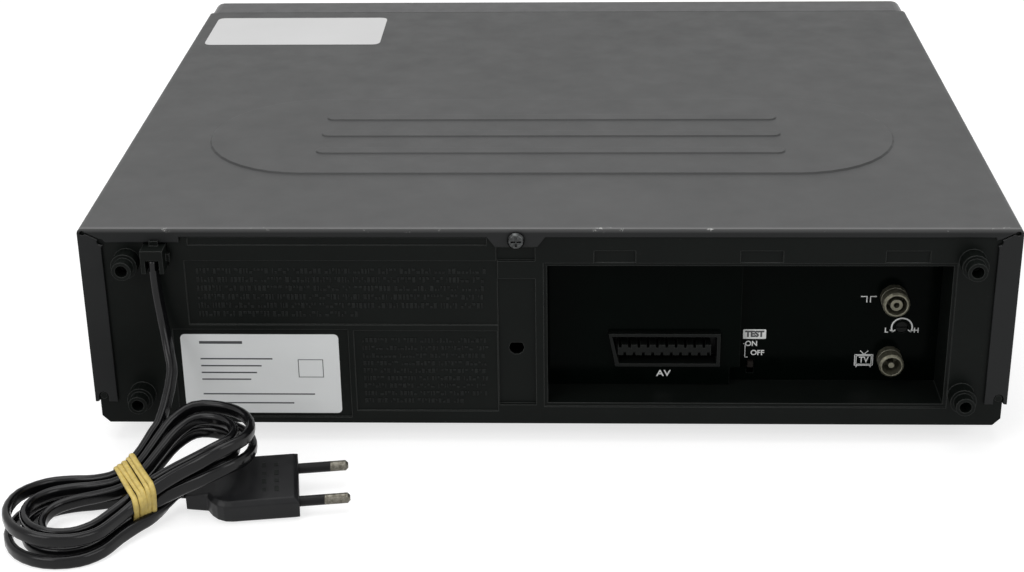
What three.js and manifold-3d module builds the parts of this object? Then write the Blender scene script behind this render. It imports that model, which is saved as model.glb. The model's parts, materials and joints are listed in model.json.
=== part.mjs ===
// Video cassette recorder with a metal cover, a moulded case, a front loading deck
// and a mains cord wound into a hank behind it.
// Millimetres. X runs across the machine, the front faces -Y, Z points up.
// The origin is on the floor, under the middle of the machine.

import * as THREE from 'three';
import * as BufferGeometryUtils from 'three/addons/utils/BufferGeometryUtils.js';
import Module from 'manifold-3d';

const wasm = await Module();
wasm.setup();

// Whole machine

const machine = { width: 360, height: 94, depth: 309 };
const gap = 0.3;
const overrun = 1;
const round = { small: 5, hole: 4, post: 12, turned: 16, drum: 26 };

// Casing

const cover = {
  sheet: 1, bend: 2, lowerEdge: 19, sideFlange: 8.8, topFlange: 3.4, deepFlange: 5.7,
  deepFlangeInset: 39, sideFlangeDrop: 8, relief: 1.5, mitre: 0.4, corner: 1.1,
  tab: { centre: 11.7, width: 22.3, slope: 3, drop: 7.4, hole: 1.9, holeDrop: 4.5 },
  panel: { width: 292, depth: 90, rise: 0.7, middle: 45.5, slope: 1.2 },
  bead: { width: 190, depth: 7, rise: 0.5, pitch: 20, count: 3 },
};
const bezel = { depth: 20, bottom: 10, wall: 2.5, edge: 2.4, grooveHeight: 49, groove: 1 };
const casing = {
  wall: 2.5, floor: 2.5, inset: 1.6, chamfer: 3, sideTop: 45, setBack: 0.3,
  vent: { width: 4, length: 60, pitch: 10, count: 8, fromMiddle: 66, y: 30 },
};
const foot = {
  height: 9, radius: 10, taper: 1.5, stud: 2.6, studLength: 2.2, inset: 34, frontInset: 36.5, rearInset: 33.5,
};
const post = {
  reach: 9, baseRadius: 5.15, baseReach: 4.6, tipRadius: 3.8, bore: 2.4, boreDepth: 7,
  inset: 18, drop: 14, lowLeftHeight: 22.5, lowRightInset: 19, lowRightHeight: 22,
};
const peg = { radius: 1.5, inset: 3.4, z: 21.4, notch: 2 };
const boss = { radius: 5, x: 110, frontY: -108, rearY: 98 };
const prop = { radius: 3.5, pilot: 1.2, inset: 30, frontInset: 38.5, middle: 20, rearInset: 29.5, rearX: 60 };

// Rear wall: each row is left, right, bottom, top and depth, in X and Z

const rearRecesses = [
  [19, 140, 52.5, 80, 0.7],
  [19.6, 75.8, 14.5, 50, 0.7],
  [78, 147, 11.5, 50.5, 0.8],
  [4.5, 19.2, 17.4, 72.5, 1.5],
];
// Under the top edge, where bottom and top are given as drops from it
const topRecesses = [
  [4.5, 19.5, 14, 8.2, 1.2],
  [-34, -18, 15, 9.7, 1.2],
  [-90.3, -74, 15, 9.7, 1.2],
  [-146, -129.2, 15, 9.7, 1.2],
  [23, 138, 7.4, 4.4, 0.6],
];
const channelHole = { x: 12.1, z: 42.1, radius: 3, flat: 2.2 };
const screw = {
  head: 3.4, headTop: 2.7, headHeight: 2, shank: 1.5, length: 9, cross: 0.7, crossReach: 2, crossDepth: 1.2,
};
const jack = {
  left: 0, inset: 24.7, bottom: 18, top: 77.7, depth: 22, wall: 2, margin: 1.8, sheet: 2,
  stepX: -76.6, step: 4.8, notch: 4, notchHeight: 8, rim: 0.8, rimWidth: 1.4,
};

// Sockets and rear controls

const scart = {
  right: -68.5, left: -24.1, slant: 2.8, bottom: 27.5, top: 42, rim: 1.3, reach: 2.4, socketDepth: 9,
  tongueWidth: 37, tongueHeight: 4.6, slot: 1.2, slotHeight: 1.3, slotCount: 10, bodyDepth: 7, margin: 2.2,
};
const aerialIn = { inset: 18.4, z: 55, radius: 5.4, bore: 4.2, core: 2.4, coreBore: 1.2 };
const aerialOut = { inset: 18.6, z: 28.1, radius: 5, bore: 3.9, core: 1.2, coreBore: 0 };
const aerial = {
  setBack: 14.2, boreDepth: 9, flange: 6.4, flangeDepth: 1, collar: 0.7, collarDepth: 5, coreBoreDepth: 6,
};
const trimmer = {
  inset: 14.3, z: 41.6, radius: 2.3, slot: 0.7, slotDepth: 0.8, shoulder: 3.2, shoulderDepth: 1,
};
const testSwitch = {
  x: -81.2, z: 25.6, width: 2.2, height: 2.6, reach: 1.5, travel: 3, shoulder: 1.6, shoulderDepth: 1,
};
const tuner = { width: 36, depth: 36, top: 72, inset: 19.8, lid: 1, ridge: 0.6 };

// Front

const slot = { halfWidth: 98, bottom: 54, top: 89 };
const door = {
  play: 0.5, setBack: 1, thickness: 2.5, hingeDrop: 1.8, pin: 1.4, cheek: 3, cheekDepth: 9, pinReach: 4.5,
  rib: 1.5, ribDepth: 1, ribs: 3,
};
const coil = { wire: 0.4, radius: 2.2, curls: 5, steps: 8, sides: 5 };
const display = {
  halfWidth: 60, bottom: 20, top: 43, setBack: 0.6, thickness: 2, tubeInset: 9, tubeDepth: 8,
};
const button = { reach: 1, edge: 0.6, flange: 1.4, flangeDepth: 1.2, stem: 1.6, travel: 0.8, setBack: 0.2 };
// Each row is name, X, Z, width and height
const buttonPlaces = [
  ['power_button', -138, 72, 34, 11],
  ['eject_button', 138, 72, 34, 11],
  ['channel_down_button', -144, 34, 16, 7],
  ['channel_up_button', -120, 34, 16, 7],
  ['rewind_button', 84, 36, 18, 8],
  ['play_button', 108, 36, 22, 8],
  ['forward_button', 132, 36, 18, 8],
  ['stop_button', 96, 23, 26, 8],
  ['record_button', 126, 23, 22, 8],
];
const frontBoard = {
  inset: 12, bottom: 14, drop: 6, notch: 104, notchBottom: 50, thickness: 1.6, setBack: 15, peg: 3,
};
const frontPegs = [[-160, 54], [160, 54], [-74, 22], [74, 46]];

// Inside

const board = { z: 15, thickness: 1.6, inset: 12, frontInset: 26.5, rearInset: 27.5, bossHole: 1.2 };
// Parts on the main board: each row is X, Y, width, depth and height
const chips = [
  [-60, -96, 42, 14, 4], [20, -100, 30, 12, 4], [-150, -60, 14, 40, 5],
  [146, -70, 18, 18, 9], [128, -96, 12, 26, 7], [-146, 40, 16, 22, 6],
];
// Each row is X, Y, radius and height
const capacitors = [
  [148, -20, 8, 26], [130, -24, 6, 20], [152, 4, 5, 18], [-140, -10, 4, 10], [-152, 8, 4, 10],
];
const transformer = { inset: 35, rearInset: 57.5, width: 48, depth: 54, height: 46, core: 14, bulge: 7 };
const chassis = {
  z: 30, thickness: 1.5, halfWidth: 116, front: -119, rear: 113, corner: 8, lip: 5, screw: 1.4,
  window: { halfWidth: 26, front: -96, rear: -72 },
};
const drum = {
  x: 0, y: 80, radius: 31, tilt: 6, lowerHeight: 15, upperHeight: 13, split: 0.4, shaft: 3, wall: 3, hub: 9,
  step: 0.6, cap: 2, lift: 37,
};
const capstan = {
  x: 62, y: 54, shaft: 2, top: 56, flywheel: 24, flywheelBottom: 18, flywheelHeight: 6, pulley: 8,
};
const bearing = { radius: 5, height: 4, flange: 7 };
const clutch = { x: 0, y: 22, pulley: 10, shaft: 1.8, height: 9 };
const belt = { thickness: 1.1, height: 2, bottom: 25.4 };
const reel = {
  x: 46, y: -24, radius: 26, teeth: 26, disc: 3, hub: 9, hubTop: 11, step: 1.8, spindle: 4.4, cap: 2,
  spline: 1.2, splines: 3, shaft: 2,
};
const idler = { armLength: 40, armWidth: 9, armThickness: 1.2, gear: 13, teeth: 16, gearHeight: 3, pin: 1.6 };
const pinch = {
  pivotX: 88, pivotY: 70, reach: 20.1, angle: -109.3, roller: 8, rollerHeight: 15, rollerBottom: 36,
  arm: 1.5, armWidth: 6, pin: 1.8, core: 3.2,
};
const tension = { pivotX: -60, pivotY: 4, reach: 28, angle: 72, width: 6, arm: 1, pin: 1.5, postTop: 52 };
const guide = {
  x: 30, y: 24, runX: 16, runY: 60, slot: 3, base: 12, baseDepth: 14, baseHeight: 5,
  roller: 3, rollerHeight: 14, stem: 1.4, lean: 9, keel: 2.2,
};
const cam = { x: -92, y: 60, teeth: 24, height: 6, hub: 6, shaft: 2.4, window: 8 };
const pinion = { teeth: 8, height: 6, shaft: 1.2 };
const gearTooth = {
  module: 1.5, addendum: 1.1, dedendum: 1.5, rootShare: 0.33, tipShare: 0.14, backlash: 0.25,
};
const motor = { radius: 11, height: 11, shaftBoss: 3, step: 1 };
const eraseHead = { x: -56, y: 51, width: 9, depth: 9, height: 16, plate: 2 };
const audioHead = { x: 57, y: 71, width: 8, depth: 9, height: 16, plate: 2 };
const headPost = 8;

// Cassette loading

const holder = {
  halfWidth: 95.5, bottom: 55.5, top: 83, front: -69, rear: 35, sheet: 1, ledge: 20, stop: 15, stopHeight: 14,
  pin: 2, pinTop: 75, windowHalf: 50, windowDepth: 60, lip: 3,
};
const holderPins = [-45, 10];
const travel = { back: 45, down: 22 };
const yoke = {
  inner: 97.5, sheet: 1.2, front: -56, rear: 21, bottom: 49, top: 86.5, bar: 18, barThickness: 1.2,
};
const bracket = { inner: 102, sheet: 1.2, front: -116, rear: 22, top: 88, foot: 9 };

// Mains cord, hank, band and plug

const cord = { width: 5.2, thickness: 3.2, radius: 2.1, sides: 8, step: 2 };
const gland = {
  inset: 29.5, drop: 6.6, width: 8.6, height: 9.4, reach: 6.6, slot: 5.4, slotDepth: 4.6, arch: 5.4,
  lug: 1.5, lugHeight: 3, tongue: 3.4, tongueHeight: 2, tongueDepth: 1.2, cordY: 3.6, collar: 1.2,
};
const hank = {
  x: 152.8, y: 54.2, turn: 29, turns: 4.55, halfRun: 26, endRadius: 23.4, step: 4.8, innerGap: 1.9,
  layer: 6, stepsPerTurn: 24, startShare: 0.25, runShare: 0.27, climbShare: 0.25,
  rise: 20, riseStart: 9, riseLength: 40,
};
// Places the cord passes down the rear and on its way to the plug, each X, Y behind the rear and Z
const cordDrop = [
  [150.2, 3.8, 70], [149.2, 4.6, 61], [147.8, 6.6, 52.5], [146.2, 10, 45.5], [144.8, 14.6, 40],
];
const leadBend = [142.2, 56.6, 5.2];
const band = { width: 6, thickness: 1.4, slack: 0.9, corner: 2.2 };
const plug = {
  faceX: 93.6, y: 42.4, turn: 8.5, tilt: 10, width: 28, height: 10, bodyLength: 25, neck: 6, shoulder: 9,
  neckEnd: 42, tailTop: 8, edge: 1.6, pin: 2, pinLength: 19, pinPitch: 18.6, sleeveLength: 10, pinPlay: 0.3,
  tip: 1,
};

// Places worked out from the sizes above

const half = machine.width / 2;
const front = -machine.depth / 2;
const rear = machine.depth / 2 - post.reach;
const seam = front + bezel.depth;
const rearWall = rear - cover.sheet - casing.setBack;
const rearWallBack = rearWall - casing.wall;
const coverInner = half - cover.sheet;
const caseHalf = coverInner - gap;
const caseLow = half - casing.inset;
const floorTop = foot.height + casing.floor;
const tabHoleHeight = machine.height - cover.tab.holeDrop;
const footX = half - foot.inset;
const footFront = front + foot.frontInset;
const footRear = rear - foot.rearInset;
const pegX = half - peg.inset;
const postTop = machine.height - post.drop;
const postPlaces = [
  [half - post.inset, postTop], [half - post.lowRightInset, post.lowRightHeight],
  [-half + post.inset, postTop], [-half + post.inset, post.lowLeftHeight],
];
const propX = half - prop.inset;
const propFront = front + prop.frontInset;
const propRear = rear - prop.rearInset;
const propPlaces = [
  [-propX, propFront], [propX, propFront], [-propX, prop.middle], [propX, prop.middle],
  [-prop.rearX, propRear], [prop.rearX, propRear],
];
const boardHalf = half - board.inset;
const boardFront = front + board.frontInset;
const boardRear = rear - board.rearInset;
const jackRight = -half + jack.inset;
const aerialInX = jackRight + aerialIn.inset;
const aerialOutX = jackRight + aerialOut.inset;
const trimmerX = jackRight + trimmer.inset;
const tunerX = jackRight + tuner.inset;
const jackFace = rear - jack.depth;
const jackBack = jackFace - jack.sheet;
const chassisTop = chassis.z + chassis.thickness;
const deckSeat = chassisTop + gap;
const boardTop = board.z + board.thickness;
const boardSeat = boardTop + gap;
const doorFront = front + door.setBack;
const hinge = {
  y: front + bezel.wall + gap + coil.radius + coil.wire,
  z: slot.top - door.play - door.hingeDrop,
};
const boardFace = front + frontBoard.setBack;
const frontBoardHalf = half - frontBoard.inset;
const frontBoardTop = machine.height - frontBoard.drop;
const glandX = half - gland.inset;
const glandTop = machine.height - gland.drop;
const glandBottom = glandTop - gland.height;

// Solids

const X = new THREE.Vector3(1, 0, 0);
const Y = new THREE.Vector3(0, 1, 0);
const Z = new THREE.Vector3(0, 0, 1);
const degrees = THREE.MathUtils.degToRad;

// Turns a shape drawn in its own plane so that its depth runs along an axis
const depthAlong = {
  x: new THREE.Matrix4().makeBasis(Y, Z, X),
  y: new THREE.Matrix4().makeBasis(X, Z, Y.clone().negate()),
  z: new THREE.Matrix4(),
};

// Turns a revolved shape so that its own axis lies along an axis
const spinAlong = {
  x: new THREE.Matrix4().makeBasis(Y.clone().negate(), X, Z),
  y: new THREE.Matrix4(),
  z: depthAlong.y,
};

function solid(geometry) {
  const bare = geometry.clone();
  bare.deleteAttribute('normal');
  bare.deleteAttribute('uv');
  const merged = BufferGeometryUtils.mergeVertices(bare);
  const corners = [];
  for (let i = 0; i < merged.index.count; i += 3) {
    const [a, b, c] = [merged.index.getX(i), merged.index.getX(i + 1), merged.index.getX(i + 2)];
    if (a !== b && b !== c && c !== a) corners.push(a, b, c);
  }
  return new wasm.Manifold(new wasm.Mesh({
    numProp: 3,
    vertProperties: new Float32Array(merged.attributes.position.array),
    triVerts: new Uint32Array(corners),
  }));
}

function join(first, ...others) {
  return others.flat().reduce((sum, other) => sum.add(other), first);
}

function cut(first, ...tools) {
  return tools.flat().reduce((rest, tool) => rest.subtract(tool), first);
}

function surface(body) {
  const mesh = body.getMesh();
  const geometry = new THREE.BufferGeometry();
  geometry.setAttribute('position', new THREE.BufferAttribute(new Float32Array(mesh.vertProperties), 3));
  geometry.setIndex(new THREE.BufferAttribute(new Uint32Array(mesh.triVerts), 1));
  geometry.computeVertexNormals();
  return geometry;
}

function block([x0, x1], [y0, y1], [z0, z1]) {
  const geometry = new THREE.BoxGeometry(Math.abs(x1 - x0), Math.abs(y1 - y0), Math.abs(z1 - z0));
  geometry.translate((x0 + x1) / 2, (y0 + y1) / 2, (z0 + z1) / 2);
  return solid(geometry);
}

// A flat outline carried from one place to another along an axis, its end edges
// eased by edge on both faces
function prism(outline, from, to, axis = 'z', { curve = 2, edge = 0 } = {}) {
  const length = to - from;
  const geometry = new THREE.ExtrudeGeometry(outline, {
    depth: length - 2 * edge,
    curveSegments: curve,
    bevelEnabled: edge > 0,
    bevelThickness: edge,
    bevelSize: edge,
    bevelOffset: -edge,
    bevelSegments: 1,
  });
  geometry.translate(0, 0, axis === 'y' ? edge - to : from + edge);
  return solid(geometry.applyMatrix4(depthAlong[axis]));
}

function polygon(points) {
  return new THREE.Shape(points.map(([u, v]) => new THREE.Vector2(u, v)));
}

function roundedRectangle([u0, u1], [v0, v1], radius) {
  const shape = new THREE.Shape();
  shape.absarc(u1 - radius, v0 + radius, radius, -Math.PI / 2, 0);
  shape.absarc(u1 - radius, v1 - radius, radius, 0, Math.PI / 2);
  shape.absarc(u0 + radius, v1 - radius, radius, Math.PI / 2, Math.PI);
  shape.absarc(u0 + radius, v0 + radius, radius, Math.PI, Math.PI * 1.5);
  return shape;
}

function disc(u, v, radius) {
  return new THREE.Shape().absarc(u, v, radius, 0, Math.PI * 2);
}

function rod(u, v, radius, from, to, axis = 'z', curve = round.small, edge = 0) {
  return prism(disc(u, v, radius), from, to, axis, { curve, edge });
}

// Outline of a straight slot between two points, with round ends
function slotShape([u0, v0], [u1, v1], radius) {
  const along = Math.atan2(v1 - v0, u1 - u0);
  const shape = new THREE.Shape();
  shape.absarc(u1, v1, radius, along - Math.PI / 2, along + Math.PI / 2);
  shape.absarc(u0, v0, radius, along + Math.PI / 2, along + Math.PI * 1.5);
  return shape;
}

// A profile of radius and height pairs turned round an axis
function revolve(profile, axis = 'z', segments = round.turned) {
  const points = profile.map(([radius, height]) => new THREE.Vector2(radius, height));
  return solid(new THREE.LatheGeometry(points, segments).applyMatrix4(spinAlong[axis]));
}

function gearOutline(teeth, pitchRadius, phase = 0) {
  const points = [];
  const turn = (Math.PI * 2) / teeth;
  const root = pitchRadius - gearTooth.dedendum;
  const tip = pitchRadius + gearTooth.addendum;
  for (let i = 0; i < teeth; i += 1) {
    const middle = phase + i * turn;
    for (const [share, radius] of [
      [-gearTooth.rootShare, root], [-gearTooth.tipShare, tip],
      [gearTooth.tipShare, tip], [gearTooth.rootShare, root],
    ]) {
      const angle = middle + share * turn;
      points.push([radius * Math.cos(angle), radius * Math.sin(angle)]);
    }
  }
  return polygon(points);
}

// Materials

const plastic = { color: 0x1b1b1c, roughness: 0.55, metalness: 0 };
const finishes = {
  cover: { color: 0x4a4b4c, roughness: 0.45, metalness: 0.6 },
  case: plastic,
  front: { color: 0x202122, roughness: 0.4, metalness: 0 },
  jackPlate: { color: 0x141416, roughness: 0.28, metalness: 0 },
  steel: { color: 0xb9bcbd, roughness: 0.35, metalness: 0.9 },
  nickel: { color: 0x9c9486, roughness: 0.4, metalness: 0.9 },
  aluminium: { color: 0xc4c6c8, roughness: 0.3, metalness: 0.9 },
  rubber: { color: 0x161616, roughness: 0.85, metalness: 0 },
  cord: { color: 0x17171a, roughness: 0.42, metalness: 0 },
  band: { color: 0xdcc268, roughness: 0.7, metalness: 0 },
  window: { color: 0x0c0d10, roughness: 0.08, metalness: 0 },
  button: { color: 0x2a2b2d, roughness: 0.45, metalness: 0 },
  board: { color: 0x3b5a34, roughness: 0.6, metalness: 0 },
  gear: { color: 0xd9d7cd, roughness: 0.5, metalness: 0 },
  copper: { color: 0x8a5a32, roughness: 0.5, metalness: 0.5 },
};

const recorder = new THREE.Group();

function part(name, body, finish, parent = recorder) {
  const geometry = body.isBufferGeometry ? body : surface(body);
  const mesh = new THREE.Mesh(geometry, new THREE.MeshStandardMaterial(finishes[finish]));
  mesh.name = name;
  parent.add(mesh);
  return mesh;
}

function groupAt(x, y, z, turn = 0, parent = recorder) {
  const group = new THREE.Group();
  group.position.set(x, y, z);
  group.rotation.z = degrees(turn);
  parent.add(group);
  return group;
}

// Moulded case: a tray with a full height rear wall, its recesses and its posts

function caseTray() {
  const outer = polygon([
    [-caseLow + casing.chamfer, foot.height], [caseLow - casing.chamfer, foot.height],
    [caseLow, foot.height + casing.chamfer], [caseLow, cover.lowerEdge],
    [caseHalf, cover.lowerEdge], [caseHalf, casing.sideTop], [-caseHalf, casing.sideTop],
    [-caseHalf, cover.lowerEdge], [-caseLow, cover.lowerEdge], [-caseLow, foot.height + casing.chamfer],
  ]);
  const ledgeTop = cover.lowerEdge + casing.wall;
  const low = caseLow - casing.wall;
  const high = caseHalf - casing.wall;
  const inner = polygon([
    [-low + casing.chamfer, floorTop], [low - casing.chamfer, floorTop],
    [low, floorTop + casing.chamfer], [low, ledgeTop], [high, ledgeTop], [high, casing.sideTop + overrun],
    [-high, casing.sideTop + overrun], [-high, ledgeTop], [-low, ledgeTop], [-low, floorTop + casing.chamfer],
  ]);
  const tray = prism(outer, seam + gap, rearWall, 'y');
  const hollow = prism(inner, seam - overrun, rearWallBack, 'y');
  const top = machine.height - cover.sheet - gap;
  const wallShape = roundedRectangle([-caseHalf, caseHalf], [cover.lowerEdge, top], cover.bend - cover.sheet);
  return join(cut(tray, hollow), prism(wallShape, rearWallBack, rearWall, 'y'));
}

function jackTunnel() {
  return block(
    [jackRight - jack.wall, jack.left + jack.wall],
    [jackFace + gap, rearWall],
    [jack.bottom - jack.wall, jack.top + jack.wall],
  );
}

function jackOpening() {
  return block([jackRight, jack.left], [jackFace - overrun, rear + overrun], [jack.bottom, jack.top]);
}

function standoffs() {
  const pieces = [];
  for (const x of [-boss.x, boss.x]) {
    for (const y of [boss.frontY, boss.rearY]) {
      pieces.push(rod(x, y, boss.radius, floorTop - casing.floor / 2, chassis.z - gap));
    }
  }
  for (const [x, y] of propPlaces) {
    pieces.push(rod(x, y, prop.radius, floorTop - casing.floor / 2, board.z - gap, 'z', round.hole));
  }
  return pieces;
}

function posts() {
  const profile = [
    [0, rearWallBack], [post.baseRadius, rearWallBack], [post.baseRadius, rear + post.baseReach],
    [post.tipRadius, rear + post.baseReach], [post.tipRadius, rear + post.reach],
    [post.bore, rear + post.reach], [post.bore, rear + post.reach - post.boreDepth],
    [0, rear + post.reach - post.boreDepth],
  ];
  return postPlaces.map(([x, z]) => revolve(profile, 'y').translate([x, 0, z]));
}

function caseVents() {
  const { vent } = casing;
  const pieces = [];
  for (const side of [-1, 1]) {
    for (let i = 0; i < vent.count; i += 1) {
      const x = side * (vent.fromMiddle + i * vent.pitch);
      const shape = slotShape([x, vent.y - vent.length / 2], [x, vent.y + vent.length / 2], vent.width / 2);
      pieces.push(prism(shape, foot.height - overrun, floorTop + overrun, 'z', { curve: 1 }));
    }
  }
  return pieces;
}

function glandNotch(grow) {
  const halfWidth = gland.width / 2 + grow;
  return block(
    [glandX - halfWidth, glandX + halfWidth],
    [rearWallBack - overrun, rearWall + overrun],
    [glandBottom - grow, glandTop + grow],
  );
}

function bottomCase() {
  const { height } = machine;
  const lowered = topRecesses.map(([x0, x1, low, high, depth]) => [x0, x1, height - low, height - high, depth]);
  const recesses = [...rearRecesses, ...lowered].map(([x0, x1, z0, z1, depth]) => (
    block([x0, x1], [rearWall - depth, rearWall + overrun], [z0, z1])
  ));
  const flatHole = cut(
    rod(channelHole.x, channelHole.z, channelHole.radius, rearWallBack - overrun, rearWall + overrun, 'y'),
    block(
      [channelHole.x - channelHole.radius, channelHole.x + channelHole.radius],
      [rearWallBack - 2 * overrun, rearWall + 2 * overrun],
      [channelHole.z + channelHole.flat, channelHole.z + channelHole.radius],
    ),
  );
  const screwHole = rod(
    cover.tab.centre, tabHoleHeight, cover.tab.hole, rearWallBack - overrun, rearWall + overrun, 'y',
  );
  const footHoles = [];
  for (const x of [-footX, footX]) {
    for (const y of [footFront, footRear]) {
      footHoles.push(rod(x, y, foot.stud + gap, foot.height - overrun, floorTop + overrun, 'z', round.hole));
    }
  }
  const pegs = [-1, 1].map((side) => (
    rod(side * pegX, peg.z, peg.radius, rearWallBack, rear - gap, 'y', round.hole)
  ));
  const body = join(caseTray(), jackTunnel(), standoffs(), posts(), pegs);
  const holes = [jackOpening(), recesses, flatHole, screwHole, footHoles, caseVents(), glandNotch(gap)];
  const deepLip = block(
    [jackRight - jack.rimWidth, jack.left + jack.rimWidth],
    [rearWall - jack.rim, rearWall + overrun],
    [jack.bottom - jack.rimWidth, jack.top + jack.rimWidth],
  );
  return cut(body, holes.flat(), deepLip);
}

part('bottom_case', bottomCase(), 'case');

for (const [name, x, y] of [
  ['foot_front_left', -footX, footFront], ['foot_front_right', footX, footFront],
  ['foot_rear_left', -footX, footRear], ['foot_rear_right', footX, footRear],
]) {
  const top = foot.height - gap;
  const profile = [
    [0, 0], [foot.radius - foot.taper, 0], [foot.radius, foot.taper], [foot.radius, top],
    [foot.stud, top], [foot.stud, top + foot.studLength], [0, top + foot.studLength],
  ];
  part(name, revolve(profile), 'rubber', groupAt(x, y, 0));
}

// Folded steel cover: a channel with flanges turned in at the rear

function coverChannel() {
  const outer = cover.bend;
  const inner = cover.bend - cover.sheet;
  const top = machine.height;
  const shape = new THREE.Shape();
  shape.moveTo(coverInner, cover.lowerEdge);
  shape.lineTo(half, cover.lowerEdge);
  shape.absarc(half - outer, top - outer, outer, 0, Math.PI / 2);
  shape.absarc(-half + outer, top - outer, outer, Math.PI / 2, Math.PI);
  shape.lineTo(-half, cover.lowerEdge);
  shape.lineTo(-coverInner, cover.lowerEdge);
  shape.absarc(-coverInner + inner, top - cover.sheet - inner, inner, Math.PI, Math.PI / 2, true);
  shape.absarc(coverInner - inner, top - cover.sheet - inner, inner, Math.PI / 2, 0, true);
  return prism(shape, seam, rear, 'y');
}

function coverFlange() {
  const { tab } = cover;
  const top = machine.height;
  const sideInner = half - cover.sideFlange;
  const deep = top - cover.deepFlange;
  const sideTop = top - cover.sideFlangeDrop;
  const deepEnd = half - cover.deepFlangeInset;
  const tabEdge = top - tab.drop;
  const shallow = top - cover.topFlange;
  const tabLeft = tab.centre - tab.width / 2;
  const tabRight = tab.centre + tab.width / 2;
  const plate = prism(
    roundedRectangle([-half, half], [cover.lowerEdge, top], cover.bend), rear - cover.sheet, rear, 'y',
  );
  const window = polygon([
    [sideInner, cover.lowerEdge - overrun], [sideInner, sideTop],
    [sideInner - cover.relief, deep],
    [deepEnd, deep], [deepEnd, shallow], [tabRight, shallow],
    [tabRight - tab.slope, tabEdge], [tabLeft + tab.slope, tabEdge], [tabLeft, shallow],
    [-sideInner + cover.relief, shallow], [-sideInner, sideTop],
    [-sideInner, cover.lowerEdge - overrun],
  ].reverse());
  const through = [rear - cover.sheet - overrun, rear + overrun];
  const cuts = [
    prism(window, ...through, 'y'),
    rod(tab.centre, tabHoleHeight, tab.hole, ...through, 'y'),
  ];
  for (const side of [-1, 1]) {
    cuts.push(prism(slotShape(
      [side * (sideInner - cover.relief), deep], [side * (half - cover.sheet), top - cover.sheet],
      cover.mitre,
    ), ...through, 'y', { curve: 1 }));
    cuts.push(rod(side * sideInner, deep, cover.relief, ...through, 'y', round.hole));
    cuts.push(rod(side * (half - cover.bend), top - cover.bend, cover.corner, ...through, 'y', round.hole));
    cuts.push(prism(slotShape(
      [side * pegX, cover.lowerEdge - overrun], [side * pegX, peg.z], peg.notch,
    ), ...through, 'y'));
  }
  return cut(plate, cuts);
}

// A shallow pressing: raised outside and hollow underneath, as sheet metal is
function pressing(halfX, halfY, middle, rise, radius) {
  const base = machine.height;
  const shape = (inset) => roundedRectangle(
    [-halfX + inset, halfX - inset], [middle - halfY + inset, middle + halfY - inset], radius - inset,
  );
  const low = base - rise - cover.sheet / 2;
  const raised = prism(shape(0), low, base + rise, 'z', { curve: 5, edge: rise });
  const hollow = prism(
    shape(cover.panel.slope), base - cover.sheet - overrun, base + rise - cover.sheet, 'z', { curve: 5 },
  );
  return { raised, hollow };
}

function topCover() {
  const { panel, bead } = cover;
  const field = pressing(panel.width / 2, panel.depth / 2, panel.middle, panel.rise, panel.depth / 2);
  let sheet = cut(join(coverChannel(), field.raised, coverFlange()), field.hollow);
  for (let i = 0; i < bead.count; i += 1) {
    const y = panel.middle + (i - (bead.count - 1) / 2) * bead.pitch;
    const shape = slotShape([-bead.width / 2, y], [bead.width / 2, y], bead.depth / 2);
    const top = machine.height + panel.rise;
    const low = top - cover.sheet / 2 - bead.rise;
    sheet = join(sheet, prism(shape, low, top + bead.rise, 'z', { curve: 3, edge: bead.rise }));
  }
  return sheet;
}

part('top_cover', topCover(), 'cover');

function coverScrew() {
  const top = rear + gap + screw.headHeight;
  const profile = [
    [0, rear - screw.length], [screw.shank, rear - screw.length], [screw.shank, rear + gap],
    [screw.head, rear + gap], [screw.head, top - screw.headHeight / 2], [screw.headTop, top], [0, top],
  ];
  const arm = screw.crossReach;
  const slots = [
    block([-arm, arm], [top - screw.crossDepth, top + overrun], [-screw.cross / 2, screw.cross / 2]),
    block([-screw.cross / 2, screw.cross / 2], [top - screw.crossDepth, top + overrun], [-arm, arm]),
  ];
  return cut(revolve(profile, 'y'), slots).translate([cover.tab.centre, 0, tabHoleHeight]);
}

part('cover_screw', coverScrew(), 'steel');

// Front bezel with its openings

function doorPinHole(radius) {
  const reach = slot.halfWidth + door.cheek + overrun;
  return rod(hinge.y, hinge.z, radius, -reach, reach, 'x', round.hole);
}

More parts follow.
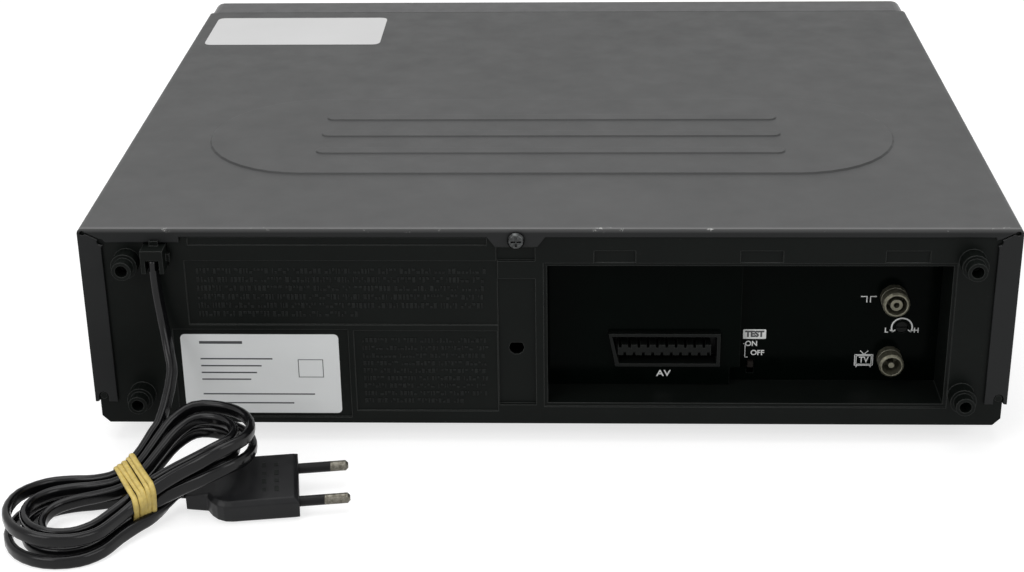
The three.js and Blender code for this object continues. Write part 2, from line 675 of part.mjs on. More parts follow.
function frontBezel() {
  const outer = cut(
    prism(
      roundedRectangle([-half, half], [bezel.bottom, machine.height], bezel.edge + bezel.wall),
      front, seam + bezel.depth, 'y', { edge: bezel.edge },
    ),
    block(
      [-half - overrun, half + overrun], [seam - gap, seam + bezel.depth + overrun],
      [0, machine.height + overrun],
    ),
  );
  const hollow = block(
    [-half + bezel.wall, half - bezel.wall], [front + bezel.wall, seam],
    [bezel.bottom + bezel.wall, machine.height - bezel.wall],
  );
  const cheeks = [-1, 1].map((side) => block(
    [side * slot.halfWidth, side * (slot.halfWidth + door.cheek)],
    [front + bezel.wall / 2, front + bezel.wall + door.cheekDepth],
    [hinge.z - door.cheek * 2, machine.height - bezel.wall / 2],
  ));
  const pegs = frontPegs.map(([x, z]) => (
    rod(x, z, frontBoard.peg, front + bezel.wall / 2, boardFace - gap, 'y', round.hole)
  ));
  const slotHole = block(
    [-slot.halfWidth, slot.halfWidth], [front - overrun, front + bezel.wall + overrun],
    [slot.bottom, slot.top],
  );
  const displayHole = prism(
    roundedRectangle([-display.halfWidth, display.halfWidth], [display.bottom, display.top], bezel.edge),
    front - overrun, front + bezel.wall + overrun, 'y',
  );
  const buttonHoles = buttonPlaces.map(([, x, z, width, height]) => prism(
    roundedRectangle([x - width / 2, x + width / 2], [z - height / 2, z + height / 2], bezel.edge / 2),
    front - overrun, front + bezel.wall + overrun, 'y', { curve: 1 },
  ));
  const grooves = [-1, 1].map((side) => block(
    [side * (slot.halfWidth + door.cheek), side * (half + overrun)], [front - overrun, front + bezel.groove],
    [bezel.grooveHeight, bezel.grooveHeight + bezel.groove],
  ));
  const shell = join(cut(outer, hollow), cheeks, pegs);
  return cut(shell, slotHole, displayHole, buttonHoles, grooves, doorPinHole(door.pin + gap));
}

part('front_bezel', frontBezel(), 'front');

function cassetteDoor() {
  const halfWidth = slot.halfWidth - door.play;
  const plate = prism(
    roundedRectangle([-halfWidth, halfWidth], [slot.bottom + door.play, slot.top - door.play], bezel.groove),
    doorFront, doorFront + door.thickness, 'y', { curve: 1 },
  );
  const ribs = [];
  const reach = slot.top - slot.bottom;
  for (let i = 1; i <= door.ribs; i += 1) {
    const z = slot.bottom + (reach * i) / (door.ribs + 2);
    ribs.push(block(
      [-halfWidth + door.cheek, halfWidth - door.cheek],
      [doorFront - overrun, doorFront + door.ribDepth / 2], [z, z + door.rib],
    ));
  }
  const pinReach = slot.halfWidth + door.cheek + door.pinReach;
  const pin = rod(hinge.y, hinge.z, door.pin, -slot.halfWidth - door.cheek / 2, pinReach, 'x', round.hole);
  const web = block(
    [-halfWidth, halfWidth], [doorFront + door.thickness / 2, hinge.y],
    [hinge.z - door.pin / 2, hinge.z + door.pin / 2],
  );
  return join(cut(plate, ribs), web, pin);
}

part('cassette_door', cassetteDoor(), 'front');

// A helical spring as one tube, its ends closed
function helix({ radius, wire, curls, steps, sides, pitch }, startX, y, z) {
  const positions = [];
  const index = [];
  const count = curls * steps;
  for (let i = 0; i <= count; i += 1) {
    const angle = (i / steps) * Math.PI * 2;
    const outward = new THREE.Vector3(0, Math.cos(angle), Math.sin(angle));
    const axisPoint = new THREE.Vector3(startX + (i / steps) * pitch, y, z);
    const centre = axisPoint.addScaledVector(outward, radius);
    for (let j = 0; j < sides; j += 1) {
      const around = (j / sides) * Math.PI * 2;
      const point = centre.clone()
        .addScaledVector(outward, wire * Math.cos(around))
        .addScaledVector(X, wire * Math.sin(around));
      positions.push(point.x, point.y, point.z);
    }
  }
  return ringsToSolid(positions, index, count, sides);
}

// Joins rings of points into one closed tube
function ringsToSolid(positions, index, count, sides) {
  for (let i = 0; i < count; i += 1) {
    for (let j = 0; j < sides; j += 1) {
      const a = i * sides + j;
      const b = i * sides + ((j + 1) % sides);
      index.push(a, b, b + sides, a, b + sides, a + sides);
    }
  }
  const last = count * sides;
  for (let j = 1; j < sides - 1; j += 1) {
    index.push(0, j + 1, j);
    index.push(last, last + j, last + j + 1);
  }
  const geometry = new THREE.BufferGeometry();
  geometry.setAttribute('position', new THREE.Float32BufferAttribute(positions, 3));
  geometry.setIndex(index);
  const closed = solid(geometry);
  if (closed.volume() > 0) return closed;
  for (let i = 0; i < index.length; i += 3) {
    [index[i + 1], index[i + 2]] = [index[i + 2], index[i + 1]];
  }
  geometry.setIndex(index);
  return solid(geometry);
}

const springStart = slot.halfWidth + door.cheek + gap + coil.wire;
const springPitch = (door.pinReach - gap - 2 * coil.wire) / coil.curls;
part('door_spring', helix({ ...coil, pitch: springPitch }, springStart, hinge.y, hinge.z), 'steel');

part('display_window', prism(
  roundedRectangle(
    [-display.halfWidth + gap, display.halfWidth - gap], [display.bottom + gap, display.top - gap],
    bezel.edge - gap,
  ),
  front + display.setBack, front + display.setBack + display.thickness, 'y',
), 'window');

// Push buttons: a cap, a flange behind the bezel and a stem to the switch

const flangeFront = front + bezel.wall + gap;
for (const [name, x, z, width, height] of buttonPlaces) {
  const w = width / 2 - gap;
  const h = height / 2 - gap;
  const capFront = front + button.setBack;
  const stemEnd = boardFace - gap - button.travel;
  const cap = prism(
    roundedRectangle([-w, w], [-h, h], bezel.edge / 2),
    capFront, flangeFront + button.flangeDepth, 'y', { curve: 1, edge: button.edge },
  );
  const flange = block(
    [-w - button.flange, w + button.flange], [flangeFront, flangeFront + button.flangeDepth],
    [-h - button.flange, h + button.flange],
  );
  const stem = rod(0, 0, button.stem, flangeFront, stemEnd, 'y', round.hole);
  part(name, join(cap, flange, stem), 'button', groupAt(x, 0, z));
}

const frontBoardShape = polygon([
  [-frontBoardHalf, frontBoard.bottom], [frontBoardHalf, frontBoard.bottom],
  [frontBoardHalf, frontBoardTop], [frontBoard.notch, frontBoardTop],
  [frontBoard.notch, frontBoard.notchBottom], [-frontBoard.notch, frontBoard.notchBottom],
  [-frontBoard.notch, frontBoardTop], [-frontBoardHalf, frontBoardTop],
]);
const tubeHalf = display.halfWidth - display.tubeInset;
const displayTube = prism(
  roundedRectangle(
    [-tubeHalf, tubeHalf], [display.bottom + display.thickness, display.top - display.thickness],
    bezel.groove,
  ),
  boardFace - display.tubeDepth, boardFace + frontBoard.thickness / 2, 'y', { curve: 1 },
);
part('front_board', join(
  prism(frontBoardShape, boardFace, boardFace + frontBoard.thickness, 'y'), displayTube,
), 'board');

// Rear jack plate, sockets, trimmer and test switch

function scartShape(grow) {
  return polygon([
    [scart.right - grow, scart.bottom - grow], [scart.left - scart.slant + grow, scart.bottom - grow],
    [scart.left + grow, scart.top + grow], [scart.right - grow, scart.top + grow],
  ]);
}

function jackPlate() {
  const plate = block(
    [jackRight - jack.margin, jack.left + jack.margin], [jackBack, jackFace],
    [jack.bottom - jack.margin, jack.top + jack.margin],
  );
  const proud = block(
    [jack.stepX, jack.left - gap], [jackFace - jack.sheet / 2, jackFace + jack.step],
    [jack.bottom + gap, jack.top - gap],
  );
  const notch = block(
    [jack.stepX - overrun, jack.stepX + jack.notch], [jackFace, jackFace + jack.step + overrun],
    [jack.bottom, jack.bottom + jack.notchHeight],
  );
  const through = [jackBack - overrun, jackFace + jack.step + overrun];
  return cut(
    join(plate, cut(proud, notch)),
    prism(scartShape(gap), ...through, 'y'),
    rod(aerialInX, aerialIn.z, aerialIn.radius + gap, ...through, 'y'),
    rod(aerialOutX, aerialOut.z, aerialOut.radius + gap, ...through, 'y'),
    rod(trimmerX, trimmer.z, trimmer.radius + gap, ...through, 'y', round.hole),
    block(
      [testSwitch.x - testSwitch.width / 2 - gap, testSwitch.x + testSwitch.width / 2 + gap], through,
      [
        testSwitch.z - testSwitch.height / 2 - testSwitch.travel - gap,
        testSwitch.z + testSwitch.height / 2 + gap,
      ],
    ),
  );
}

part('jack_plate', jackPlate(), 'jackPlate');

function scartSocket() {
  const tip = jackFace + jack.step + scart.reach;
  const back = jackBack - gap;
  const body = block(
    [scart.right - scart.margin, scart.left + scart.margin], [back - scart.bodyDepth, back],
    [scart.bottom - scart.margin, scart.top + scart.margin],
  );
  const shell = join(body, prism(scartShape(0), back - overrun, tip, 'y'));
  const mouth = prism(scartShape(-scart.rim), tip - scart.socketDepth, tip + overrun, 'y');
  const middleX = (scart.left + scart.right) / 2;
  const middleZ = (scart.bottom + scart.top) / 2;
  const tongue = block(
    [middleX - scart.tongueWidth / 2, middleX + scart.tongueWidth / 2],
    [tip - scart.socketDepth - overrun, tip - gap],
    [middleZ - scart.tongueHeight / 2, middleZ + scart.tongueHeight / 2],
  );
  const slots = [];
  const pitch = scart.tongueWidth / scart.slotCount;
  for (let i = 0; i < scart.slotCount; i += 1) {
    for (const side of [-1, 1]) {
      const x = middleX + (i - (scart.slotCount - 1) / 2) * pitch + (side * pitch) / 4;
      const edge = scart.tongueHeight / 2;
      slots.push(block(
        [x - scart.slot / 2, x + scart.slot / 2], [tip - scart.socketDepth + scart.slot, tip + overrun],
        [middleZ + side * (edge - scart.slotHeight), middleZ + side * (edge + overrun)],
      ));
    }
  }
  return join(cut(shell, mouth), cut(tongue, slots));
}

part('scart_socket', scartSocket(), 'jackPlate');

// A coaxial socket: a grooved sleeve round a hollow or a solid middle pin
function aerialSocket({ radius, bore, core, coreBore }) {
  const tip = rear - aerial.setBack;
  const base = jackBack - gap;
  const floor = tip - aerial.boreDepth;
  const groove = tip - aerial.collarDepth;
  const coreFloor = tip - aerial.coreBoreDepth;
  const hollowPin = [
    [core, floor], [core, tip - gap], [coreBore, tip - gap], [coreBore, coreFloor], [0, coreFloor],
  ];
  const solidPin = [[core, floor], [core, tip - overrun], [0, tip - overrun]];
  return revolve([
    [0, base - aerial.flangeDepth], [aerial.flange, base - aerial.flangeDepth], [aerial.flange, base],
    [radius, base], [radius, groove], [radius - aerial.collar, groove],
    [radius - aerial.collar, groove + aerial.collar], [radius, groove + aerial.collar],
    [radius, tip - aerial.collar], [radius - aerial.collar, tip], [bore, tip], [bore, floor],
    ...(coreBore > 0 ? hollowPin : solidPin),
  ], 'y');
}

part('antenna_socket', aerialSocket(aerialIn), 'nickel', groupAt(aerialInX, 0, aerialIn.z));
part('tv_socket', aerialSocket(aerialOut), 'nickel', groupAt(aerialOutX, 0, aerialOut.z));

const socketFlangeBack = jackBack - gap - aerial.flangeDepth;

function rfTrimmer() {
  const face = jackFace - gap;
  const back = jackBack - gap;
  const profile = [
    [0, back - trimmer.shoulderDepth], [trimmer.shoulder, back - trimmer.shoulderDepth],
    [trimmer.shoulder, back], [trimmer.radius, back], [trimmer.radius, face], [0, face],
  ];
  const slotCut = block(
    [-trimmer.radius - overrun, trimmer.radius + overrun], [face - trimmer.slotDepth, face + overrun],
    [-trimmer.slot / 2, trimmer.slot / 2],
  );
  return cut(revolve(profile, 'y'), slotCut);
}

part('rf_trimmer', rfTrimmer(), 'gear', groupAt(trimmerX, 0, trimmer.z));

const switchBack = jackBack - gap - testSwitch.shoulderDepth;
part('test_switch', join(
  block(
    [-testSwitch.width / 2, testSwitch.width / 2], [switchBack, jackFace + testSwitch.reach],
    [-testSwitch.height / 2, testSwitch.height / 2],
  ),
  block(
    [-testSwitch.width / 2 - testSwitch.shoulder, testSwitch.width / 2 + testSwitch.shoulder],
    [switchBack, jackBack - gap],
    [-testSwitch.height / 2 - testSwitch.shoulder, testSwitch.height / 2 + testSwitch.shoulder],
  ),
), 'button', groupAt(testSwitch.x, 0, testSwitch.z));

// The tuner stands soldered on the main board
function tunerCan() {
  const back = socketFlangeBack - gap;
  const left = tunerX - tuner.width / 2;
  const right = tunerX + tuner.width / 2;
  const can = block([left, right], [back - tuner.depth, back], [board.z + gap, tuner.top]);
  const ridge = block(
    [left - tuner.ridge, right + tuner.ridge], [back - tuner.depth + tuner.lid, back - tuner.lid],
    [boardSeat + tuner.lid, tuner.top - tuner.width / 4],
  );
  return [can, ridge];
}

// Main board and power transformer

function mainBoard() {
  const plate = block([-boardHalf, boardHalf], [boardFront, boardRear], [board.z, boardTop]);
  const holes = [];
  for (const x of [-boss.x, boss.x]) {
    for (const y of [boss.frontY, boss.rearY]) {
      holes.push(rod(x, y, boss.radius + board.bossHole, board.z - overrun, boardTop + overrun));
    }
  }
  const chipSolids = chips.map(([x, y, width, depth, height]) => (
    block([x - width / 2, x + width / 2], [y - depth / 2, y + depth / 2], [board.z + gap, boardTop + height])
  ));
  const cans = capacitors.map(([x, y, radius, height]) => (
    rod(x, y, radius, board.z + gap, boardTop + height, 'z', round.hole)
  ));
  return join(cut(plate, holes), chipSolids, cans, tunerCan());
}

part('main_board', mainBoard(), 'board');

function mainsTransformer() {
  const { width, depth, height } = transformer;
  const core = block([-width / 2, width / 2], [-transformer.core / 2, transformer.core / 2], [0, height]);
  const winding = prism(
    roundedRectangle(
      [-width / 2 + transformer.bulge, width / 2 - transformer.bulge], [-depth / 2, depth / 2],
      transformer.bulge,
    ),
    transformer.bulge, height - transformer.bulge, 'z', { edge: transformer.bulge / 4 },
  );
  const feet = block([-width / 2, width / 2], [-depth / 2, depth / 2], [0, transformer.bulge / 4]);
  const hold = block([-width / 4, width / 4], [-depth / 4, depth / 4], [0, transformer.bulge * 2]);
  return join(core, winding, feet, hold);
}

part('mains_transformer', mainsTransformer(), 'copper', groupAt(
  half - transformer.inset, rear - transformer.rearInset, boardSeat,
));

// Deck chassis

function deckChassis() {
  const shape = roundedRectangle(
    [-chassis.halfWidth, chassis.halfWidth], [chassis.front, chassis.rear], chassis.corner,
  );
  const sheet = prism(shape, chassis.z, chassisTop);
  const lip = cut(
    prism(shape, chassis.z, chassis.z + chassis.lip),
    prism(roundedRectangle(
      [-chassis.halfWidth + chassis.thickness, chassis.halfWidth - chassis.thickness],
      [chassis.front + chassis.thickness, chassis.rear - chassis.thickness],
      chassis.corner - chassis.thickness,
    ), chassis.z - overrun, chassis.z + chassis.lip + overrun),
  );
  const through = [chassis.z - overrun, chassisTop + overrun];
  const holes = [
    rod(capstan.x, capstan.y, bearing.radius - gap, ...through),
    rod(clutch.x, clutch.y, clutch.shaft + gap, ...through),
    rod(cam.x, cam.y, cam.shaft + gap, ...through),
    rod(motorPlace.x, motorPlace.y, motor.shaftBoss + gap, ...through),
    rod(pinch.pivotX, pinch.pivotY, pinch.pin + gap, ...through),
    rod(tension.pivotX, tension.pivotY, tension.pin + gap, ...through),
    prism(roundedRectangle(
      [-chassis.window.halfWidth, chassis.window.halfWidth], [chassis.window.front, chassis.window.rear],
      chassis.corner,
    ), ...through),
  ];
  for (const side of [-1, 1]) {
    holes.push(rod(side * reel.x, reel.y, reel.shaft + gap, ...through));
    holes.push(prism(slotShape(
      [side * guide.x, guide.y], [side * (guide.x + guide.runX), guide.y + guide.runY], guide.slot,
    ), ...through));
    for (const y of [boss.frontY, boss.rearY]) {
      holes.push(rod(side * boss.x, y, chassis.screw, ...through, 'z', round.hole));
    }
  }
  const erase = head(eraseHead).translate([eraseHead.x, eraseHead.y, 0]);
  return join(cut(join(sheet, lip), holes), capstanBearing(), erase);
}

// The capstan's bearing, pressed into the chassis
function capstanBearing() {
  const bottom = belt.bottom + belt.height + gap;
  const inner = capstan.shaft + gap;
  return revolve([
    [inner, bottom], [bearing.radius, bottom], [bearing.radius, chassis.z], [bearing.flange, chassis.z],
    [bearing.flange, chassisTop + chassis.thickness], [bearing.radius, chassisTop + chassis.thickness * 2],
    [bearing.radius, chassisTop + bearing.height], [inner, chassisTop + bearing.height], [inner, bottom],
  ]).translate([capstan.x, capstan.y, 0]);
}

// A fixed head on its plate and post
function head({ width, depth, height, plate }) {
  const top = deckSeat + plate + headPost + height;
  return join(
    block([-width / 2, width / 2], [-depth / 2, depth / 2], [chassisTop, deckSeat + plate]),
    rod(0, 0, width / 4, deckSeat, deckSeat + plate + headPost, 'z', round.hole),
    prism(
      roundedRectangle([-width / 2, width / 2], [-depth / 3, depth / 2], plate),
      deckSeat + plate + headPost / 2, top,
    ),
  );
}

const gearDistance = (gearTooth.module * (cam.teeth + pinion.teeth)) / 2 + gearTooth.backlash;
const motorPlace = { x: cam.x, y: cam.y + gearDistance };
part('deck_chassis', deckChassis(), 'steel');

// Head drum: a fixed lower half and a spinning upper half on one leaning axis

const drumAxis = groupAt(drum.x, drum.y, drum.lift);
drumAxis.rotation.y = -degrees(drum.tilt);

function drumLower() {
  const r = drum.radius;
  const body = revolve([
    [0, -drum.lowerHeight], [r, -drum.lowerHeight], [r, drum.lowerHeight - drum.step],
    [r - drum.step, drum.lowerHeight], [r - drum.wall, drum.lowerHeight], [r - drum.wall, drum.hub],
    [drum.hub, drum.hub], [drum.hub, drum.lowerHeight],
    [drum.shaft + gap, drum.lowerHeight], [drum.shaft + gap, drum.step], [0, drum.step],
  ], 'z', round.drum);
  const seat = block([-2 * r, 2 * r], [-2 * r, 2 * r], [-2 * r, deckSeat - drum.lift]);
  return cut(body, seat.rotate([0, drum.tilt, 0]));
}

function drumUpper() {
  const r = drum.radius;
  const base = drum.lowerHeight + drum.split;
  const top = base + drum.upperHeight;
  return revolve([
    [0, drum.step + gap], [drum.shaft, drum.step + gap], [drum.shaft, base], [r, base],
    [r, top - drum.step], [r - drum.step, top], [r - drum.wall, top], [r - drum.wall, top - drum.cap],
    [drum.hub, top - drum.cap], [drum.hub, top + drum.cap], [0, top + drum.cap],
  ], 'z', round.drum);
}

part('drum_lower', drumLower(), 'aluminium', drumAxis);
part('drum_upper', drumUpper(), 'aluminium', drumAxis);

// Capstan with its flywheel, bearing, belt and clutch pulley

const beltTop = belt.bottom + belt.height;
part('capstan_flywheel', revolve([
  [0, capstan.flywheelBottom], [capstan.flywheel, capstan.flywheelBottom],
  [capstan.flywheel, capstan.flywheelBottom + capstan.flywheelHeight],
  [capstan.pulley + belt.thickness, capstan.flywheelBottom + capstan.flywheelHeight],
  [capstan.pulley + belt.thickness, belt.bottom - gap], [capstan.pulley, belt.bottom - gap],
  [capstan.pulley, beltTop], [capstan.shaft, beltTop], [capstan.shaft, capstan.top], [0, capstan.top],
], 'z', round.drum), 'steel', groupAt(capstan.x, capstan.y, 0));

part('clutch_pulley', revolve([
  [0, beltTop - clutch.height], [clutch.pulley + belt.thickness, beltTop - clutch.height],
  [clutch.pulley + belt.thickness, belt.bottom - gap], [clutch.pulley, belt.bottom - gap],
  [clutch.pulley, beltTop], [clutch.shaft, beltTop], [clutch.shaft, deckSeat + idler.armThickness + gap],
  [0, deckSeat + idler.armThickness + gap],
]), 'gear', groupAt(clutch.x, clutch.y, 0));

// Outline of a belt that runs round two pulleys of different size
function beltOutline(grow) {
  const distance = Math.hypot(capstan.x - clutch.x, capstan.y - clutch.y);
  const along = Math.atan2(capstan.y - clutch.y, capstan.x - clutch.x);
  const big = clutch.pulley + gap + grow;
  const small = capstan.pulley + gap + grow;
  const contact = Math.acos((big - small) / distance);
  const shape = new THREE.Shape();
  shape.absarc(capstan.x, capstan.y, small, along - contact, along + contact);
  shape.absarc(clutch.x, clutch.y, big, along + contact, along - contact + Math.PI * 2);
  return shape;
}

part('drive_belt', cut(
  prism(beltOutline(belt.thickness), belt.bottom, beltTop, 'z', { curve: round.small }),
  prism(beltOutline(0), belt.bottom - overrun, beltTop + overrun, 'z', { curve: round.small }),
), 'rubber');

// Reel tables, idler, pinch roller and tension arm

function reelTable() {
  const toothed = prism(gearOutline(reel.teeth, reel.radius), deckSeat, deckSeat + reel.disc);
  const step = deckSeat + reel.disc + reel.step;
  const hub = revolve([
    [0, chassis.z - gap], [reel.shaft, chassis.z - gap], [reel.shaft, deckSeat + gap],
    [reel.hub, deckSeat + gap], [reel.hub, step], [reel.spindle, step],
    [reel.spindle, deckSeat + reel.hubTop - reel.cap], [0, deckSeat + reel.hubTop + reel.cap],
  ]);
  const splines = [];
  for (let i = 0; i < reel.splines; i += 1) {
    const fin = block(
      [0, reel.spindle + reel.spline], [-reel.spline / 2, reel.spline / 2],
      [deckSeat + reel.disc, deckSeat + reel.hubTop - reel.cap],
    );
    splines.push(fin.rotate([0, 0, (i * 360) / reel.splines]));
  }
  return join(toothed, hub, splines);
}

part('supply_reel', reelTable(), 'gear', groupAt(-reel.x, reel.y, 0));
part('takeup_reel', reelTable(), 'gear', groupAt(reel.x, reel.y, 0));

const idlerTop = deckSeat + idler.armThickness;
const idlerGroup = groupAt(clutch.x, clutch.y, 0);

part('idler_arm', cut(
  join(
    prism(
      slotShape([0, 0], [0, -idler.armLength], idler.armWidth / 2), deckSeat, idlerTop, 'z', { curve: 3 },
    ),
    rod(0, -idler.armLength, idler.pin, deckSeat, idlerTop + gap + idler.gearHeight + gap, 'z', round.hole),
  ),
  rod(0, 0, clutch.shaft + gap, deckSeat - overrun, idlerTop + overrun),
), 'steel', idlerGroup);

part('idler_gear', cut(
  prism(gearOutline(idler.teeth, idler.gear), idlerTop + gap, idlerTop + gap + idler.gearHeight),
  rod(0, 0, idler.pin + gap, deckSeat, idlerTop + 2 * idler.gearHeight, 'z', round.hole),
), 'gear', groupAt(0, -idler.armLength, 0, 0, idlerGroup));

const pinchGroup = groupAt(pinch.pivotX, pinch.pivotY, 0, pinch.angle);
const pinchTop = deckSeat + pinch.arm;
const rollerTop = pinch.rollerBottom + pinch.rollerHeight;

part('pinch_arm', join(
  prism(slotShape([0, 0], [pinch.reach, 0], pinch.armWidth / 2), deckSeat, pinchTop, 'z', { curve: 3 }),
  rod(0, 0, pinch.pin, chassis.z - gap, pinchTop + overrun, 'z', round.hole),
  rod(pinch.reach, 0, pinch.core, deckSeat, pinch.rollerBottom - gap, 'z', round.hole),
  rod(pinch.reach, 0, pinch.pin, deckSeat, rollerTop + pinch.arm, 'z', round.hole),
), 'steel', pinchGroup);

part('pinch_roller', revolve([
  [pinch.pin + gap, pinch.rollerBottom], [pinch.core, pinch.rollerBottom],
  [pinch.roller, pinch.rollerBottom + gap], [pinch.roller, rollerTop - gap], [pinch.core, rollerTop],
  [pinch.pin + gap, rollerTop], [pinch.pin + gap, pinch.rollerBottom],
]), 'rubber', groupAt(pinch.reach, 0, 0, 0, pinchGroup));

part('tension_arm', join(
  prism(
    slotShape([0, 0], [tension.reach, 0], tension.width / 2),
    deckSeat, deckSeat + tension.arm, 'z', { curve: 3 },
  ),
  rod(0, 0, tension.pin, chassis.z - gap, deckSeat + tension.arm, 'z', round.hole),
  rod(tension.reach, 0, tension.pin, deckSeat, tension.postTop, 'z', round.hole),
), 'steel', groupAt(tension.pivotX, tension.pivotY, 0, tension.angle));

// Tape guides that carry the tape round the drum

function loadingPost(side) {
  const base = prism(
    roundedRectangle(
      [-guide.base / 2, guide.base / 2], [-guide.baseDepth / 2, guide.baseDepth / 2], guide.slot,
    ),
    deckSeat, deckSeat + guide.baseHeight,
  );
  const keel = rod(0, 0, guide.slot - gap, chassis.z - gap, deckSeat + overrun, 'z', round.hole);
  const keelFoot = rod(
    0, 0, guide.slot + guide.keel / 2, chassis.z - gap - guide.keel, chassis.z - gap, 'z', round.hole,
  );
  const low = deckSeat + guide.baseHeight;
  const high = low + guide.rollerHeight;
  const flange = guide.roller + gap;
  const roller = revolve([
    [0, low - overrun], [guide.stem, low - overrun], [guide.stem, low + gap], [flange, low + gap],
    [flange, low + overrun], [guide.roller, low + overrun], [guide.roller, high], [flange, high],
    [guide.stem, high + overrun], [0, high + overrun],
  ], 'z', round.post);
  const leaning = rod(0, 0, guide.stem, 0, guide.rollerHeight, 'z', round.hole)
    .rotate([0, side * guide.lean, 0])
    .translate([0, -guide.baseDepth / 3, low - overrun]);
  return join(base, keel, keelFoot, roller, leaning);
}

part('loading_post_left', loadingPost(-1), 'steel', groupAt(-guide.x, guide.y, 0));
part('loading_post_right', loadingPost(1), 'steel', groupAt(guide.x, guide.y, 0));

// Mode cam, its pinion and the loading motor

const camRadius = (gearTooth.module * cam.teeth) / 2;
const pinionRadius = (gearTooth.module * pinion.teeth) / 2;

part('mode_cam', cut(
  join(
    prism(gearOutline(cam.teeth, camRadius), deckSeat, deckSeat + cam.height),
    rod(0, 0, cam.hub, deckSeat, deckSeat + cam.height + overrun),
    rod(0, 0, cam.shaft, chassis.z - gap, deckSeat + overrun),
  ),
  prism(
    slotShape([cam.window, 0], [0, cam.window], gearTooth.addendum),
    deckSeat + cam.height / 2, deckSeat + 2 * cam.height,
  ),
), 'gear', groupAt(cam.x, cam.y, 0));

part('loading_pinion', join(
  prism(
    gearOutline(pinion.teeth, pinionRadius, Math.PI / pinion.teeth - Math.PI / 2),
    deckSeat, deckSeat + pinion.height,
  ),
  rod(0, 0, pinion.shaft, chassis.z - gap, deckSeat + overrun, 'z', round.hole),
), 'gear', groupAt(motorPlace.x, motorPlace.y, 0));

part('loading_motor', revolve([
  [0, chassis.z - gap - motor.height], [motor.radius - motor.step, chassis.z - gap - motor.height],
  [motor.radius, chassis.z - gap - motor.height + motor.step], [motor.radius, chassis.z - gap],
  [motor.shaftBoss, chassis.z - gap], [motor.shaftBoss, chassisTop],
  [pinion.shaft + gap, chassisTop], [pinion.shaft + gap, chassis.z - 2 * gap], [0, chassis.z - 2 * gap],
]), 'steel', groupAt(motorPlace.x, motorPlace.y, 0));

part('audio_head', head(audioHead).translate([0, 0, gap]), 'steel', groupAt(audioHead.x, audioHead.y, 0));

// Cassette loading: brackets with L shaped slots, a sliding yoke and the holder

const pinReachOut = bracket.inner + bracket.sheet + overrun;

// Two places at one side of the machine, lower first
function sidewards(side, near, far) {
  return [side * near, side * far].sort((a, b) => a - b);
}

function cassetteHolder() {
  const { halfWidth, sheet } = holder;
  const depth = [holder.front, holder.rear];
  const middle = (holder.front + holder.rear) / 2;
  const window = roundedRectangle(
    [-holder.windowHalf, holder.windowHalf],
    [middle - holder.windowDepth / 2, middle + holder.windowDepth / 2], holder.lip,
  );
  const roof = cut(
    block([-halfWidth, halfWidth], depth, [holder.top - sheet, holder.top]),
    prism(window, holder.top - sheet - overrun, holder.top + overrun),
  );
  const pieces = [];
  for (const side of [-1, 1]) {
    const outer = side * halfWidth;
    const ends = sidewards(side, halfWidth - sheet / 2, pinReachOut);
    pieces.push(
      block([outer - side * sheet, outer], depth, [holder.bottom, holder.top]),
      block([outer - side * holder.ledge, outer], depth, [holder.bottom, holder.bottom + sheet]),
      block(
        [outer - side * holder.stop, outer], [holder.rear - sheet, holder.rear],
        [holder.bottom, holder.bottom + holder.stopHeight],
      ),
      ...holderPins.map((y) => rod(y, holder.pinTop, holder.pin, ...ends, 'x', round.hole)),
    );
  }
  return join(roof, pieces);
}

part('cassette_holder', cassetteHolder(), 'steel');

// A slot for a holder pin through a plate
function pinSlot(from, to, ends) {
  return prism(
    slotShape(from, to, holder.pin + gap), ends[0] - overrun, ends[1] + overrun, 'x', { curve: 3 },
  );
}

function holderYoke() {
  const plates = [-1, 1].map((side) => {
    const ends = sidewards(side, yoke.inner, yoke.inner + yoke.sheet);
    const plate = block(ends, [yoke.front, yoke.rear], [yoke.bottom, yoke.top]);
    return cut(plate, holderPins.map((y) => (
      pinSlot([y, holder.pinTop - travel.down], [y, holder.pinTop], ends)
    )));
  });
  const middle = (yoke.front + yoke.rear) / 2;
  const bar = block(
    [-yoke.inner - yoke.sheet / 2, yoke.inner + yoke.sheet / 2],
    [middle - yoke.bar / 2, middle + yoke.bar / 2], [yoke.top - yoke.barThickness, yoke.top],
  );
  return join(bar, plates);
}

part('holder_yoke', holderYoke(), 'steel');

function loaderBracket(side) {
  const ends = sidewards(side, bracket.inner, bracket.inner + bracket.sheet);
  const seatEnds = sidewards(side, bracket.inner, bracket.inner + bracket.foot);
  const plate = block(ends, [bracket.front, bracket.rear], [deckSeat, bracket.top]);
  const seat = block(seatEnds, [bracket.front, bracket.rear], [deckSeat, deckSeat + bracket.sheet]);
  const cuts = holderPins.flatMap((y) => [
    pinSlot([y - travel.back, holder.pinTop], [y, holder.pinTop], ends),
    pinSlot([y, holder.pinTop - travel.down], [y, holder.pinTop], ends),
  ]);
  return cut(join(plate, seat), cuts);
}

part('loader_bracket_left', loaderBracket(-1), 'steel');
part('loader_bracket_right', loaderBracket(1), 'steel');

// Mains cord

